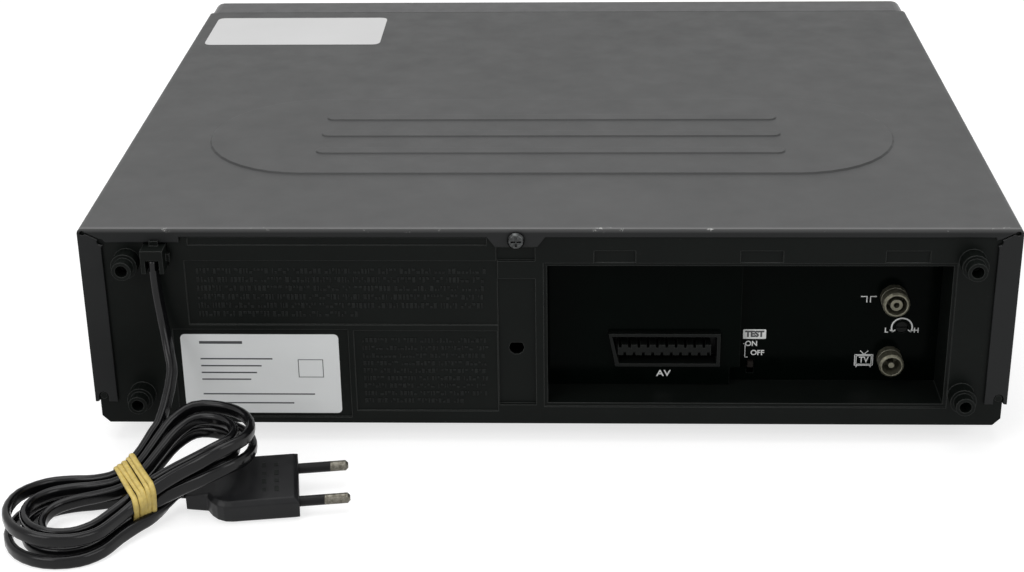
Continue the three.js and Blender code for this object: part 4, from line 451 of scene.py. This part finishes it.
def smooth_line(points, steps):
    """Points along a centripetal curve through the given points."""
    least = 1e-6
    ends = [points[0] * 2 - points[1], *points, points[-1] * 2 - points[-2]]
    line = []
    for i in range(1, len(ends) - 2):
        a, b, c, d = ends[i - 1:i + 3]
        t0 = 0.0
        t1 = t0 + math.sqrt(max((b - a).length, least))
        t2 = t1 + math.sqrt(max((c - b).length, least))
        t3 = t2 + math.sqrt(max((d - c).length, least))
        for k in range(steps):
            t = t1 + (t2 - t1) * k / steps
            ab = a * ((t1 - t) / (t1 - t0)) + b * ((t - t0) / (t1 - t0))
            bc = b * ((t2 - t) / (t2 - t1)) + c * ((t - t1) / (t2 - t1))
            cd = c * ((t3 - t) / (t3 - t2)) + d * ((t - t2) / (t3 - t2))
            abc = ab * ((t2 - t) / (t2 - t0)) + bc * ((t - t0) / (t2 - t0))
            bcd = bc * ((t3 - t) / (t3 - t1)) + cd * ((t - t1) / (t3 - t1))
            line.append(abc * ((t2 - t) / (t2 - t1)) + bcd * ((t - t1) / (t2 - t1)))
    line.append(points[-1].copy())
    return line


def tube(bm, line, widths, section, closed=False):
    """A section carried along a line; widths gives the direction of its width at each point."""
    rings = []
    count = len(line)
    for i, centre in enumerate(line):
        before = line[(i - 1) % count if closed else max(i - 1, 0)]
        after = line[(i + 1) % count if closed else min(i + 1, count - 1)]
        ahead = (after - before).normalized()
        wide = (widths[i] - ahead * widths[i].dot(ahead)).normalized()
        thick = ahead.cross(wide)
        rings.append([bm.verts.new(centre + wide * w + thick * t) for w, t in section])
    around = len(section)
    for i in range(count if closed else count - 1):
        first, second = rings[i], rings[(i + 1) % count]
        for j in range(around):
            k = (j + 1) % around
            bm.faces.new((first[j], first[k], second[k], second[j]))
    if not closed:
        bm.faces.new(rings[0][::-1])
        bm.faces.new(rings[-1])


def smoothstep(value, low, high):
    share = min(max((value - low) / (high - low), 0.0), 1.0)
    return share * share * (3 - 2 * share)


def arc(centre, radius, start, end, steps=18):
    """Points on an arc in a flat plane, angles in degrees."""
    spread = [math.radians(start + (end - start) * i / steps) for i in range(steps + 1)]
    return [(centre[0] + radius * math.cos(a), centre[1] + radius * math.sin(a)) for a in spread]


def rounded_outline(x0, x1, z0, z1, radius, steps=5):
    corners = [((x1 - radius, z0 + radius), -90), ((x1 - radius, z1 - radius), 0),
               ((x0 + radius, z1 - radius), 90), ((x0 + radius, z0 + radius), 180)]
    return [p for centre, start in corners for p in arc(centre, radius, start, start + 90, steps)]


# Mains cord: one flat twin cord from the clip, through the hank, into the plug

CORD_WIDTH = 0.0052
CORD_THICKNESS = 0.0032
CLIP_X = 0.1505
CORD_BEHIND = 0.0036
CLIP_BOTTOM = 0.078
CLIP_INSIDE = 0.0051
# The cord's places are X, Y behind the cover's rear, and Z
CORD_DROP = [
    (0.1502, 0.0038, 0.070), (0.1492, 0.0046, 0.061), (0.1478, 0.0066, 0.0525),
    (0.1462, 0.0100, 0.0455), (0.1448, 0.0146, 0.040),
]
LEAD_BEND = (0.1422, 0.0566, 0.0052)
PLUG_TAIL = (0.1350, 0.0495, 0.0074)
PLUG_TURN = math.radians(8.5)
CORD_STEPS = 3
CORD_EDGE_STEPS = 10

# The hank: a long loop that winds inward in a lower layer, climbs and winds outward over it

HANK_CENTRE = (0.1528, 0.0542)
HANK_TURN = math.radians(29)
HANK_TURNS = 4.55
HANK_HALF_RUN = 0.026
HANK_END_RADIUS = 0.0234
HANK_REACH = HANK_HALF_RUN + HANK_END_RADIUS
HANK_STEP = 0.0048
LOBE_STEP = 0.0061
HANK_INNER_GAP = 0.0019
HANK_LAYER = 0.006
HANK_STEPS = 24
START_SHARE = 0.25
RUN_SHARE = 0.27
CLIMB_SHARE = 0.25
RISE = 0.020
RISE_START = 0.009
RISE_LENGTH = 0.040
LOOSE_RISE = 0.0032
LOOSE_FROM = 0.1
BOW = 0.0036
BAND_THICKNESS = 0.0014
BAND_CLEARANCE = 0.0006
BAND_LIFT = BAND_THICKNESS + BAND_CLEARANCE
REVERSE_AT = HANK_TURNS / 2
WAIST = HANK_INNER_GAP + REVERSE_AT * HANK_STEP


def hank_local(turns):
    """Centre of the cord in the hank's own frame after so many turns."""
    loops_in = REVERSE_AT - abs(turns - REVERSE_AT)
    waist = WAIST - loops_in * HANK_STEP
    lobe = HANK_END_RADIUS - loops_in * LOBE_STEP
    climb = smoothstep(turns, REVERSE_AT - CLIMB_SHARE, REVERSE_AT + CLIMB_SHARE)
    along = (turns + START_SHARE * RUN_SHARE) % 1
    far_side = along >= 0.5
    share = along - 0.5 if far_side else along
    if share < RUN_SHARE:
        x = -HANK_HALF_RUN + 2 * HANK_HALF_RUN * share / RUN_SHARE
        bulge = (1 - math.cos(math.pi * x / HANK_HALF_RUN)) / 2
        y = -waist - (lobe - waist) * bulge
    else:
        angle = -math.pi / 2 + math.pi * (share - RUN_SHARE) / (0.5 - RUN_SHARE)
        x = HANK_HALF_RUN + lobe * math.cos(angle)
        y = lobe * math.sin(angle)
    if far_side:
        x, y = -x, -y
    last_run = turns > HANK_TURNS - RUN_SHARE
    rise = 0.0 if last_run else RISE * smoothstep(RISE_START - x, 0, RISE_LENGTH)
    loose = LOOSE_RISE * (1 - smoothstep(turns, LOOSE_FROM, REVERSE_AT))
    rise += loose * smoothstep(abs(x - RISE_START), 0, RISE_LENGTH)
    y += BOW * (min(x, 0.0) / HANK_REACH) ** 2
    reach = min(max(x / HANK_HALF_RUN, -1), 1)
    lift = BAND_LIFT * (1 + math.cos(math.pi * reach)) / 2
    return Vector((x, y, CORD_WIDTH / 2 + HANK_LAYER * (1 - climb) + rise + lift))


def from_hank(local):
    turned = Matrix.Rotation(HANK_TURN, 4, "Z") @ local
    return turned + Vector((HANK_CENTRE[0], REAR + HANK_CENTRE[1], 0))


def behind(place):
    return Vector((place[0], REAR + place[1], place[2]))


def oval_section(width, thickness, steps):
    """Outline of a flat cord: two flat sides between round edges."""
    radius = thickness / 2
    outline = []
    for side in (1, -1):
        for i in range(steps + 1):
            angle = math.pi * (i / steps - 0.5)
            wide = side * (width / 2 - radius + radius * math.cos(angle))
            outline.append((wide, side * radius * math.sin(angle)))
    return outline


def cord_line():
    """Control points of the whole cord, and how many of them come before and after the hank."""
    count = round(HANK_TURNS * HANK_STEPS)
    loops = [from_hank(hank_local(HANK_TURNS * i / count)) for i in range(count + 1)]

    def onward(end, inner, slope=1.0):
        out = (end - inner).normalized() * CORD_WIDTH
        out.z *= slope
        return end + out

    clip = [behind((CLIP_X, CORD_BEHIND, z)) for z in (CLIP_BOTTOM + CLIP_INSIDE, CLIP_BOTTOM)]
    before = clip + [behind(p) for p in CORD_DROP] + [onward(loops[0], loops[1])]
    ahead = Vector((math.cos(PLUG_TURN), math.sin(PLUG_TURN), 0))
    after = [onward(loops[-1], loops[-2], slope=0.0), behind(LEAD_BEND),
             behind(PLUG_TAIL) + ahead * CORD_THICKNESS, behind(PLUG_TAIL)]
    return before + loops + after, len(before), len(after)


def make_cord():
    """The cord stands on its edge in the hank, and turns to lie flat on its way into the plug."""
    points, before, after = cord_line()
    line = smooth_line(points, CORD_STEPS)
    up = Vector((0, 0, 1))
    first, last = before * CORD_STEPS, len(line) - after * CORD_STEPS
    widths = [up.copy() for _ in line]
    for i in range(first - 1, -1, -1):
        ahead = (line[i + 1] - line[i]).normalized()
        carried = widths[i + 1] - ahead * widths[i + 1].dot(ahead)
        widths[i] = carried.normalized()
    across = Vector((-math.sin(PLUG_TURN), math.cos(PLUG_TURN), 0))
    for i in range(last, len(line)):
        share = smoothstep(i, last, len(line) - CORD_STEPS)
        widths[i] = (up * (1 - share) + across * share).normalized()
    bm = bmesh.new()
    tube(bm, line, widths, oval_section(CORD_WIDTH, CORD_THICKNESS, CORD_EDGE_STEPS))
    piece = add_piece("mains_cord", mesh_from("mains_cord", bm), cord_skin, smooth=True)
    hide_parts("power_cord", "cord_hank", "plug_lead")
    return piece, line


# Rubber band: closed wraps side by side round the hank's waist

BAND_WRAPS = 5
BAND_STRAND = 0.0022
BAND_SPAN = 0.0066
BAND_TILT = 0.0004
BAND_POINTS = 72
BAND_SIDES = 10
BAND_SEED = 11
STRAND_SEARCH_STEPS = 480
STRAND_SIDES = 16
MICROMETRE_DIGITS = 6


def hull(points):
    """Convex hull of points in a plane, anticlockwise."""
    points = sorted(set(points))

    def half_of(ordered):
        chain = []
        for p in ordered:
            while len(chain) > 1:
                (ax, ay), (bx, by) = chain[-2], chain[-1]
                if (bx - ax) * (p[1] - ay) - (by - ay) * (p[0] - ax) > 0:
                    break
                chain.pop()
            chain.append(p)
        return chain[:-1]

    return half_of(points) + half_of(points[::-1])


def band_loop(offset):
    """A closed line round all the strands of the hank where they cross one plane."""
    reach = BAND_THICKNESS / 2
    around = []
    count = round(HANK_TURNS * STRAND_SEARCH_STEPS)
    last = None
    for i in range(count + 1):
        here = hank_local(HANK_TURNS * i / count)
        crosses = last is not None and (last.x - offset) * (here.x - offset) <= 0
        if crosses and abs(here.y) < HANK_END_RADIUS:
            for k in range(STRAND_SIDES):
                angle = 2 * math.pi * k / STRAND_SIDES
                y = here.y + (CORD_THICKNESS / 2 + reach) * math.cos(angle)
                z = here.z + (CORD_WIDTH / 2 + reach) * math.sin(angle)
                around.append((round(y, MICROMETRE_DIGITS), round(max(z, reach), MICROMETRE_DIGITS)))
        last = here
    return hull(around)


def even_loop(corners, count):
    """The same closed line with its points evenly spread."""
    least = 1e-9
    closed = corners + corners[:1]
    lengths = [math.dist(a, b) for a, b in zip(closed, closed[1:])]
    total = sum(lengths)
    spread = []
    for i in range(count):
        left = total * i / count
        for (a, b), length in zip(zip(closed, closed[1:]), lengths):
            if left <= length:
                share = left / max(length, least)
                spread.append((a[0] + (b[0] - a[0]) * share, a[1] + (b[1] - a[1]) * share))
                break
            left -= length
    return spread


def make_band():
    chance = random.Random(BAND_SEED)
    bm = bmesh.new()
    wide = Matrix.Rotation(HANK_TURN, 3, "Z") @ Vector((1, 0, 0))
    angles = [2 * math.pi * k / BAND_SIDES for k in range(BAND_SIDES)]
    section = [(BAND_STRAND / 2 * math.cos(a), BAND_THICKNESS / 2 * math.sin(a)) for a in angles]
    for wrap in range(BAND_WRAPS):
        offset = BAND_SPAN * (wrap / (BAND_WRAPS - 1) - 0.5)
        loop = even_loop(band_loop(offset), BAND_POINTS)
        phase = chance.uniform(0, 2 * math.pi)
        lean = chance.uniform(0.5, 1) * BAND_TILT
        line = []
        for i, (y, z) in enumerate(loop):
            sway = lean * math.sin(2 * math.pi * i / len(loop) + phase)
            line.append(from_hank(Vector((offset + sway, y, z))))
        tube(bm, line, [wide] * len(line), section, closed=True)
    piece = add_piece("band_wraps", mesh_from("band_wraps", bm), band_skin, smooth=True)
    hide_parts("rubber_band")
    return piece


# Plain moulded marks on the plug, whose face is at X and Y behind the cover's rear

PLUG_FACE = (0.0936, 0.0424)
PLUG_WIDTH = 0.028
PLUG_HEIGHT = 0.010
PLUG_TILT = math.radians(10)
MARKS_BEHIND_FACE = 0.0125
MARK_PITCH = 0.0046
MARK_ROWS = 4
MARK_COLUMNS = 3
MARK_HALF_WIDTH = 0.0008
MARK_HALF_LENGTHS = (0.0009, 0.0014)
MARK_SUNK = 0.0002
MARK_HEIGHT = 0.0004


def make_plug_marks():
    bm = bmesh.new()
    lying = Matrix.Rotation(-PLUG_TILT, 4, "X") @ Matrix.Rotation(PLUG_TURN, 4, "Z")
    place = Vector((PLUG_FACE[0], REAR + PLUG_FACE[1], PLUG_WIDTH / 2 * math.sin(PLUG_TILT)))
    for row in range(MARK_ROWS):
        for column in range(MARK_COLUMNS):
            x = MARKS_BEHIND_FACE + (column - (MARK_COLUMNS - 1) / 2) * MARK_PITCH
            y = (row - (MARK_ROWS - 1) / 2) * MARK_PITCH
            long = MARK_HALF_LENGTHS[(row + column) % 2]
            first = len(bm.verts)
            add_box(bm, (x - MARK_HALF_WIDTH, y - long, PLUG_HEIGHT - MARK_SUNK),
                    (x + MARK_HALF_WIDTH, y + long, PLUG_HEIGHT + MARK_HEIGHT))
            bm.verts.ensure_lookup_table()
            for vertex in bm.verts[first:]:
                vertex.co = place + lying @ vertex.co
    return add_piece("plug_marks", mesh_from("plug_marks", bm), relief_black)


plug_marks = make_plug_marks()
mains_cord, cord_path = make_cord()
band_wraps = make_band()

# Printed legends on the jack plate, each placed from the middle of the fitting that it names

JACK_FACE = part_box("jack_plate")[1].y
JACK_STEP = 0.0048
LOW_PLATE = JACK_FACE - JACK_STEP
PRINT_HEIGHT = 0.00006
PRINT_BOLD = 0.00006
TEST_BOLD = 0.00020
CAPITAL_SHARE = 0.70
FACING_REAR = Matrix(((-1, 0, 0), (0, 0, 1), (0, 1, 0)))


def beside(node, across, up):
    """A point in X and Z, so far from the middle of a node."""
    low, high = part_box(node)
    return (low.x + high.x) / 2 + across, (low.z + high.z) / 2 + up


def legend(name, words, place, height, plane, width_share=1.0, bold=PRINT_BOLD, finish=print_white):
    """Words printed on a plane that faces the rear, centred on a place in X and Z."""
    curve = bpy.data.curves.new(name, "FONT")
    curve.body = words
    curve.align_x = "CENTER"
    curve.align_y = "CENTER"
    curve.size = height / CAPITAL_SHARE
    curve.extrude = PRINT_HEIGHT / 2
    curve.offset = bold
    curve.materials.append(finish)
    words_object = bpy.data.objects.new(name, curve)
    turn = (FACING_REAR @ Matrix.Diagonal((width_share, 1, 1))).to_4x4()
    words_object.matrix_world = Matrix.Translation((place[0], plane + PRINT_HEIGHT / 2, place[1])) @ turn
    bpy.context.scene.collection.objects.link(words_object)
    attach(words_object, ROOT)


AV_PLACE = beside("scart_socket", 0.0001, -0.01155)
ON_PLACE = beside("test_switch", -0.0002, 0.0086)
OFF_PLACE = beside("test_switch", -0.0028, 0.0045)
TEST_PLACE = beside("test_switch", -0.0014, 0.0129)
DIAL = beside("rf_trimmer", 0, 0)
LOW_PLACE = beside("rf_trimmer", 0.0061, -0.0013)
HIGH_PLACE = beside("rf_trimmer", -0.0058, -0.0013)
TELEVISION = beside("tv_socket", 0.0100, -0.0011)
AERIAL = beside("antenna_socket", 0.0098, 0.0003)

# Heights of the capitals
AV_HEIGHT, TV_HEIGHT, TEST_HEIGHT = 0.0027, 0.0026, 0.0025
SWITCH_HEIGHT, DIAL_HEIGHT = 0.0022, 0.0021

legend("legend_av", "AV", AV_PLACE, AV_HEIGHT, JACK_FACE, width_share=1.15)
legend("legend_on", "ON", ON_PLACE, SWITCH_HEIGHT, LOW_PLATE)
legend("legend_off", "OFF", OFF_PLACE, SWITCH_HEIGHT, LOW_PLATE)
legend("legend_low", "L", LOW_PLACE, DIAL_HEIGHT, LOW_PLATE)
legend("legend_high", "H", HIGH_PLACE, DIAL_HEIGHT, LOW_PLATE)
legend("legend_tv", "TV", TELEVISION, TV_HEIGHT, LOW_PLATE, width_share=0.85)

# Signs on the jack plate: half sizes and places of their strokes from the middle of each sign

THIN_LINE, SIGN_LINE, FINE_LINE, DIAL_LINE = 0.0003, 0.00032, 0.00045, 0.0006
TELEVISION_FRAMES = ((0.0036, 0.0024), (0.0030, 0.0019))
ROD_FOOT, ROD_TIP = (0, 0.0025), (0.0016, 0.0042)
LEG_TOP, LEG_END = (0.0025, -0.0025), (0.0030, -0.0032)
AERIAL_HALF_GAP, AERIAL_ARM, AERIAL_DROP = 0.0007, 0.0024, 0.0026
DIAL_RADIUS = 0.0041
DIAL_ENDS = (-28, 208)
ARROW = (0.0011, 0.0009)
SWITCH_BRACKET = ((0.0030, 0.0086), (0.0022, 0.0086), (0.0022, 0.0026), (0.0010, 0.0026))


def stroke(bm, points, width):
    """A printed line of even width through points in X and Z."""
    line = [Vector((x, LOW_PLATE + PRINT_HEIGHT / 2, z)) for x, z in points]
    across = [Vector((0, 1, 0)) for _ in line]
    half_height, half_width = PRINT_HEIGHT / 2, width / 2
    section = [(half_height, half_width), (-half_height, half_width), (-half_height, -half_width),
               (half_height, -half_width)]
    tube(bm, line, across, section)


def mirrored(centre, side, place):
    return centre[0] + side * place[0], centre[1] + place[1]


def make_marks():
    bm = bmesh.new()
    for half_width, half_height in TELEVISION_FRAMES:
        corners = [mirrored(TELEVISION, 1, (i * half_width, j * half_height))
                   for i, j in ((-1, -1), (1, -1), (1, 1), (-1, 1))]
        for start, end in zip(corners, corners[1:] + corners[:1]):
            stroke(bm, [start, end], SIGN_LINE)
    for side in (-1, 1):
        stroke(bm, [mirrored(TELEVISION, side, p) for p in (ROD_FOOT, ROD_TIP)], SIGN_LINE)
        stroke(bm, [mirrored(TELEVISION, side, p) for p in (LEG_TOP, LEG_END)], SIGN_LINE)
    for side in (-1, 1):
        down = (AERIAL_HALF_GAP, -AERIAL_DROP)
        bend = (AERIAL_HALF_GAP, 0)
        arm = (AERIAL_HALF_GAP + AERIAL_ARM, 0)
        stroke(bm, [mirrored(AERIAL, side, p) for p in (down, bend, arm)], FINE_LINE)
    stroke(bm, arc(DIAL, DIAL_RADIUS, *DIAL_ENDS), DIAL_LINE)
    for end in DIAL_ENDS:
        tip = arc(DIAL, DIAL_RADIUS, end, end, 1)[0]
        stroke(bm, [mirrored(tip, -1, ARROW), tip, mirrored(tip, 1, ARROW)], FINE_LINE)
    bracket = [beside("test_switch", *p) for p in SWITCH_BRACKET]
    stroke(bm, bracket[:3], THIN_LINE)
    stroke(bm, bracket[2:], THIN_LINE)
    add_piece("printed_marks", mesh_from("printed_marks", bm), print_white)


make_marks()


def flat_sheet(name, outline, place, thickness, finish):
    bm = bmesh.new()
    add_sheet(bm, outline, place, thickness)
    return add_piece(name, mesh_from(name, bm), finish)


def on_rear(plane):
    return lambda u, v, height: Vector((u, plane + height, v))


def on_top(plane):
    return lambda u, v, height: Vector((u, v, plane + height))


# The word TEST stands out of a white field

TEST_FIELD_LOW = beside("test_switch", -0.0060, 0.0108)
TEST_FIELD_HIGH = beside("test_switch", 0.0032, 0.0150)
TEST_CORNER = 0.0004
TEST_FIELD = (TEST_FIELD_LOW[0], TEST_FIELD_HIGH[0], TEST_FIELD_LOW[1], TEST_FIELD_HIGH[1])

flat_sheet("legend_test_field", rounded_outline(*TEST_FIELD, TEST_CORNER), on_rear(LOW_PLATE),
           PRINT_HEIGHT, print_white)
legend("legend_test", "TEST", TEST_PLACE, TEST_HEIGHT, LOW_PLATE + PRINT_HEIGHT, width_share=0.95,
       bold=TEST_BOLD, finish=label_ink)

# Rear label, from its lowest to its highest X and from its lowest to its highest Z

LABEL = (0.0820, 0.1443, 0.0130, 0.0480)
LABEL_RECESS = 0.0008
LABEL_CORNER = 0.0018
LABEL_THICKNESS = 0.00012
LABEL_PLANE = REAR_WALL - LABEL_RECESS
INK_HEIGHT = 0.00002
# Ruled lines start so far in from the edge at the highest X
RULE_INSET = 0.0073
# Length of each ruled line, its drop from the label's upper edge, and its thickness
RULES = (
    (0.0170, 0.0036, 0.0012), (0.0285, 0.0108, 0.0006), (0.0240, 0.0139, 0.0006),
    (0.0220, 0.0169, 0.0006), (0.0195, 0.0199, 0.0006), (0.0445, 0.0265, 0.0006),
    (0.0360, 0.0305, 0.0006),
)
EMPTY_FRAME = (0.0885, 0.0985, 0.0290, 0.0370)
EMPTY_FRAME_LINE = 0.0003

flat_sheet("rear_label", rounded_outline(*LABEL, LABEL_CORNER), on_rear(LABEL_PLANE), LABEL_THICKNESS,
           label_white)


def make_label_lines():
    """Plain ruled lines and an empty frame."""
    bm = bmesh.new()
    plane = LABEL_PLANE + LABEL_THICKNESS

    def ink(x0, x1, z0, z1):
        add_box(bm, (x0, plane, z0), (x1, plane + INK_HEIGHT, z1))

    left, top = LABEL[1] - RULE_INSET, LABEL[3]
    for length, drop, thick in RULES:
        ink(left - length, left, top - drop - thick / 2, top - drop + thick / 2)
    x0, x1, z0, z1 = EMPTY_FRAME
    ink(x0, x1, z0, z0 + EMPTY_FRAME_LINE)
    ink(x0, x1, z1 - EMPTY_FRAME_LINE, z1)
    ink(x0, x0 + EMPTY_FRAME_LINE, z0, z1)
    ink(x1 - EMPTY_FRAME_LINE, x1, z0, z1)
    add_piece("rear_label_lines", mesh_from("rear_label_lines", bm), label_ink)


make_label_lines()

# A bare sticker on the cover, from its lowest to its highest X and from its lowest to its highest Y

STICKER = (0.0860, 0.1730, -0.1250, -0.0810)
STICKER_CORNER = 0.0035
STICKER_THICKNESS = 0.00015

flat_sheet("top_sticker", rounded_outline(*STICKER, STICKER_CORNER), on_top(COVER_TOP),
           STICKER_THICKNESS, sticker_white)

# Plain signs above the buttons of the front

SIGN = 0.0011
SIGN_ABOVE = 0.0026
PAIR_SHIFT = SIGN * 0.8
SQUARE_HALF = SIGN * 0.8
BAR_LOW, BAR_HIGH = -SIGN * 1.15, -SIGN * 0.75
RING_OUTSIDE, RING_INSIDE = SIGN * 1.2, SIGN * 0.9
RING_START, RING_END = 120, 420
RING_STEPS = 24
STEM_HALF, STEM_TOP = 0.00015, SIGN * 1.5
FRONT_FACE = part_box("front_bezel")[0].y


def pointing(turn, shift=0.0):
    """A triangle of the sign's size, turned by that many degrees and shifted along X."""
    return [(x + shift, z) for x, z in arc((0, 0), SIGN, turn, turn + 240, 2)]


def block(half_width, low, high):
    return [(-half_width, low), (half_width, low), (half_width, high), (-half_width, high)]


signs = {
    "play_button": [pointing(0)],
    "forward_button": [pointing(0, -PAIR_SHIFT), pointing(0, PAIR_SHIFT)],
    "rewind_button": [pointing(180, -PAIR_SHIFT), pointing(180, PAIR_SHIFT)],
    "stop_button": [block(SQUARE_HALF, -SQUARE_HALF, SQUARE_HALF)],
    "record_button": [arc((0, 0), SIGN, 0, 345, 23)],
    "eject_button": [pointing(90), block(SIGN, BAR_LOW, BAR_HIGH)],
    "channel_up_button": [pointing(90)],
    "channel_down_button": [pointing(270)],
    "power_button": [
        arc((0, 0), RING_OUTSIDE, RING_START, RING_END, RING_STEPS)
        + arc((0, 0), RING_INSIDE, RING_END, RING_START, RING_STEPS),
        block(STEM_HALF, 0, STEM_TOP),
    ],
}


def on_front(u, v, height):
    return Vector((u, FRONT_FACE + PRINT_HEIGHT - height, v))


def make_signs():
    bm = bmesh.new()
    for button, outlines in signs.items():
        low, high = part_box(button)
        middle, above = (low.x + high.x) / 2, high.z + SIGN_ABOVE
        for outline in outlines:
            add_sheet(bm, [(middle + u, above + v) for u, v in outline], on_front, 2 * PRINT_HEIGHT)
    add_piece("front_signs", mesh_from("front_signs", bm), print_white)


make_signs()

# Low moulded bars in the two sunk fields of the rear wall, whose edges are given in X and Z

UPPER_FIELD = (0.021, 0.138, 0.0530, 0.0795)
LOWER_FIELD = (0.0206, 0.0748, 0.0150, 0.0495)
FIELD_DEPTH = 0.0007
FIELD_MARGIN = 0.0022
BAR_SHORTEST = 0.0004
BAR_LONGEST = 0.0014
BAR_GAP = 0.0005
BAR_SUNK = 0.0001
BAR_RISE = 0.0003
BAR_BEVEL = 0.00008
GROUP_LEAST, GROUP_MOST = 3, 9
GROUP_GAP = 0.0010
# Lower and upper ends of a bar, as shares of half its row's height; most bars are whole
BAR_END_SHARES = ((-1, 1), (-1, 1), (-1, -0.1), (0.1, 1))


def make_relief(name, field, rows, seed, tall, short_last):
    """Rows of small low bars in groups: a plain moulded texture."""
    chance = random.Random(seed)
    x0, x1, z0, z1 = field
    bm = bmesh.new()
    plane = REAR_WALL - FIELD_DEPTH
    pitch = (z1 - z0 - 2 * FIELD_MARGIN) / rows
    for row in range(rows):
        z = z1 - FIELD_MARGIN - (row + 0.5) * pitch
        x = x1 - FIELD_MARGIN
        end = x0 + FIELD_MARGIN
        if row == rows - 1:
            end += (x1 - x0) * short_last
        while x > end + BAR_LONGEST:
            for _ in range(chance.randint(GROUP_LEAST, GROUP_MOST)):
                if x < end + BAR_LONGEST:
                    break
                long = chance.uniform(BAR_SHORTEST, BAR_LONGEST)
                low, high = chance.choice(BAR_END_SHARES)
                add_box(bm, (x - long, plane - BAR_SUNK, z + low * tall / 2),
                        (x, plane + BAR_RISE, z + high * tall / 2))
                x -= long + BAR_GAP
            x -= GROUP_GAP
    raised = [e for e in bm.edges if all(v.co.y > plane for v in e.verts)]
    bmesh.ops.bevel(bm, geom=raised, offset=BAR_BEVEL, segments=1, affect="EDGES")
    add_piece(name, mesh_from(name, bm), relief_black)


make_relief("moulded_relief_upper", UPPER_FIELD, rows=6, seed=3, tall=0.0022, short_last=0.42)
make_relief("moulded_relief_lower", LOWER_FIELD, rows=9, seed=5, tall=0.0018, short_last=0.15)

# Floor, light and world

FLOOR_HALF = 6
FLOOR_SHADE = 0.45
FLOOR_GLOW = 0.7
GLOW_REACH = (0.5, 1.5)
WORLD_LIGHT = 0.35
# Each row is a light's name, place, aim, size and power
LIGHTS = (
    ("overhead", (0.2, 0.0, 1.5), (0, 0, 0.05), (1.6, 1.2), 14),
    ("behind_left", (0.9, 1.2, 0.9), (0, 0.1, 0.05), (0.9, 0.9), 8),
    ("behind_right", (-1.0, 1.0, 0.7), (0, 0.1, 0.05), (0.9, 0.9), 6),
)


def make_floor():
    """A pale floor that shows white far away, and keeps the object's shadow near it."""
    half = FLOOR_HALF
    mesh = bpy.data.meshes.new("floor")
    corners = [(-half, -half, 0), (half, -half, 0), (half, half, 0), (-half, half, 0)]
    mesh.from_pydata(corners, [], [(0, 1, 2, 3)])
    floor = bpy.data.objects.new("floor", mesh)
    bpy.context.scene.collection.objects.link(floor)
    made = Nodes("floor_white")
    made.fix(Base_Color=(FLOOR_SHADE, FLOOR_SHADE, FLOOR_SHADE, 1), Roughness=0.9,
             Specular_IOR_Level=0.0, Emission_Color=(1, 1, 1, 1))
    rays = made.add("ShaderNodeLightPath")
    seen = made.math("MAXIMUM", rays.outputs["Is Camera Ray"], rays.outputs["Is Glossy Ray"])
    seen = made.math("MAXIMUM", seen, rays.outputs["Is Transmission Ray"])
    away = made.add("ShaderNodeVectorMath", operation="LENGTH")
    made.link(made.place(), away.inputs[0])
    glow = made.ramp(away.outputs["Value"], *GLOW_REACH, FLOOR_GLOW, 1.0)
    made.link(made.product(seen, glow), made.shader.inputs["Emission Strength"])
    mesh.materials.append(made.material)


def make_world():
    world = bpy.data.worlds.new("studio")
    world.use_nodes = True
    bpy.context.scene.world = world
    tree = world.node_tree
    background = tree.nodes["Background"]
    rays = tree.nodes.new("ShaderNodeLightPath")
    seen = rays.outputs["Is Camera Ray"]
    for kind in ("Is Glossy Ray", "Is Transmission Ray"):
        either = tree.nodes.new("ShaderNodeMath")
        either.operation = "MAXIMUM"
        tree.links.new(seen, either.inputs[0])
        tree.links.new(rays.outputs[kind], either.inputs[1])
        seen = either.outputs[0]
    spread = tree.nodes.new("ShaderNodeMapRange")
    spread.inputs["To Min"].default_value = WORLD_LIGHT
    spread.inputs["To Max"].default_value = 1.0
    tree.links.new(seen, spread.inputs["Value"])
    tree.links.new(spread.outputs[0], background.inputs["Strength"])
    background.inputs["Color"].default_value = (1, 1, 1, 1)


def add_light(name, place, aim, size, power):
    data = bpy.data.lights.new(name, "AREA")
    data.shape = "RECTANGLE"
    data.size, data.size_y = size
    data.energy = power
    light = bpy.data.objects.new(name, data)
    facing = (Vector(aim) - Vector(place)).to_track_quat("-Z", "Y")
    light.matrix_world = Matrix.Translation(place) @ facing.to_matrix().to_4x4()
    bpy.context.scene.collection.objects.link(light)


make_floor()
make_world()
for light in LIGHTS:
    add_light(*light)
bpy.context.scene.view_settings.view_transform = "Standard"
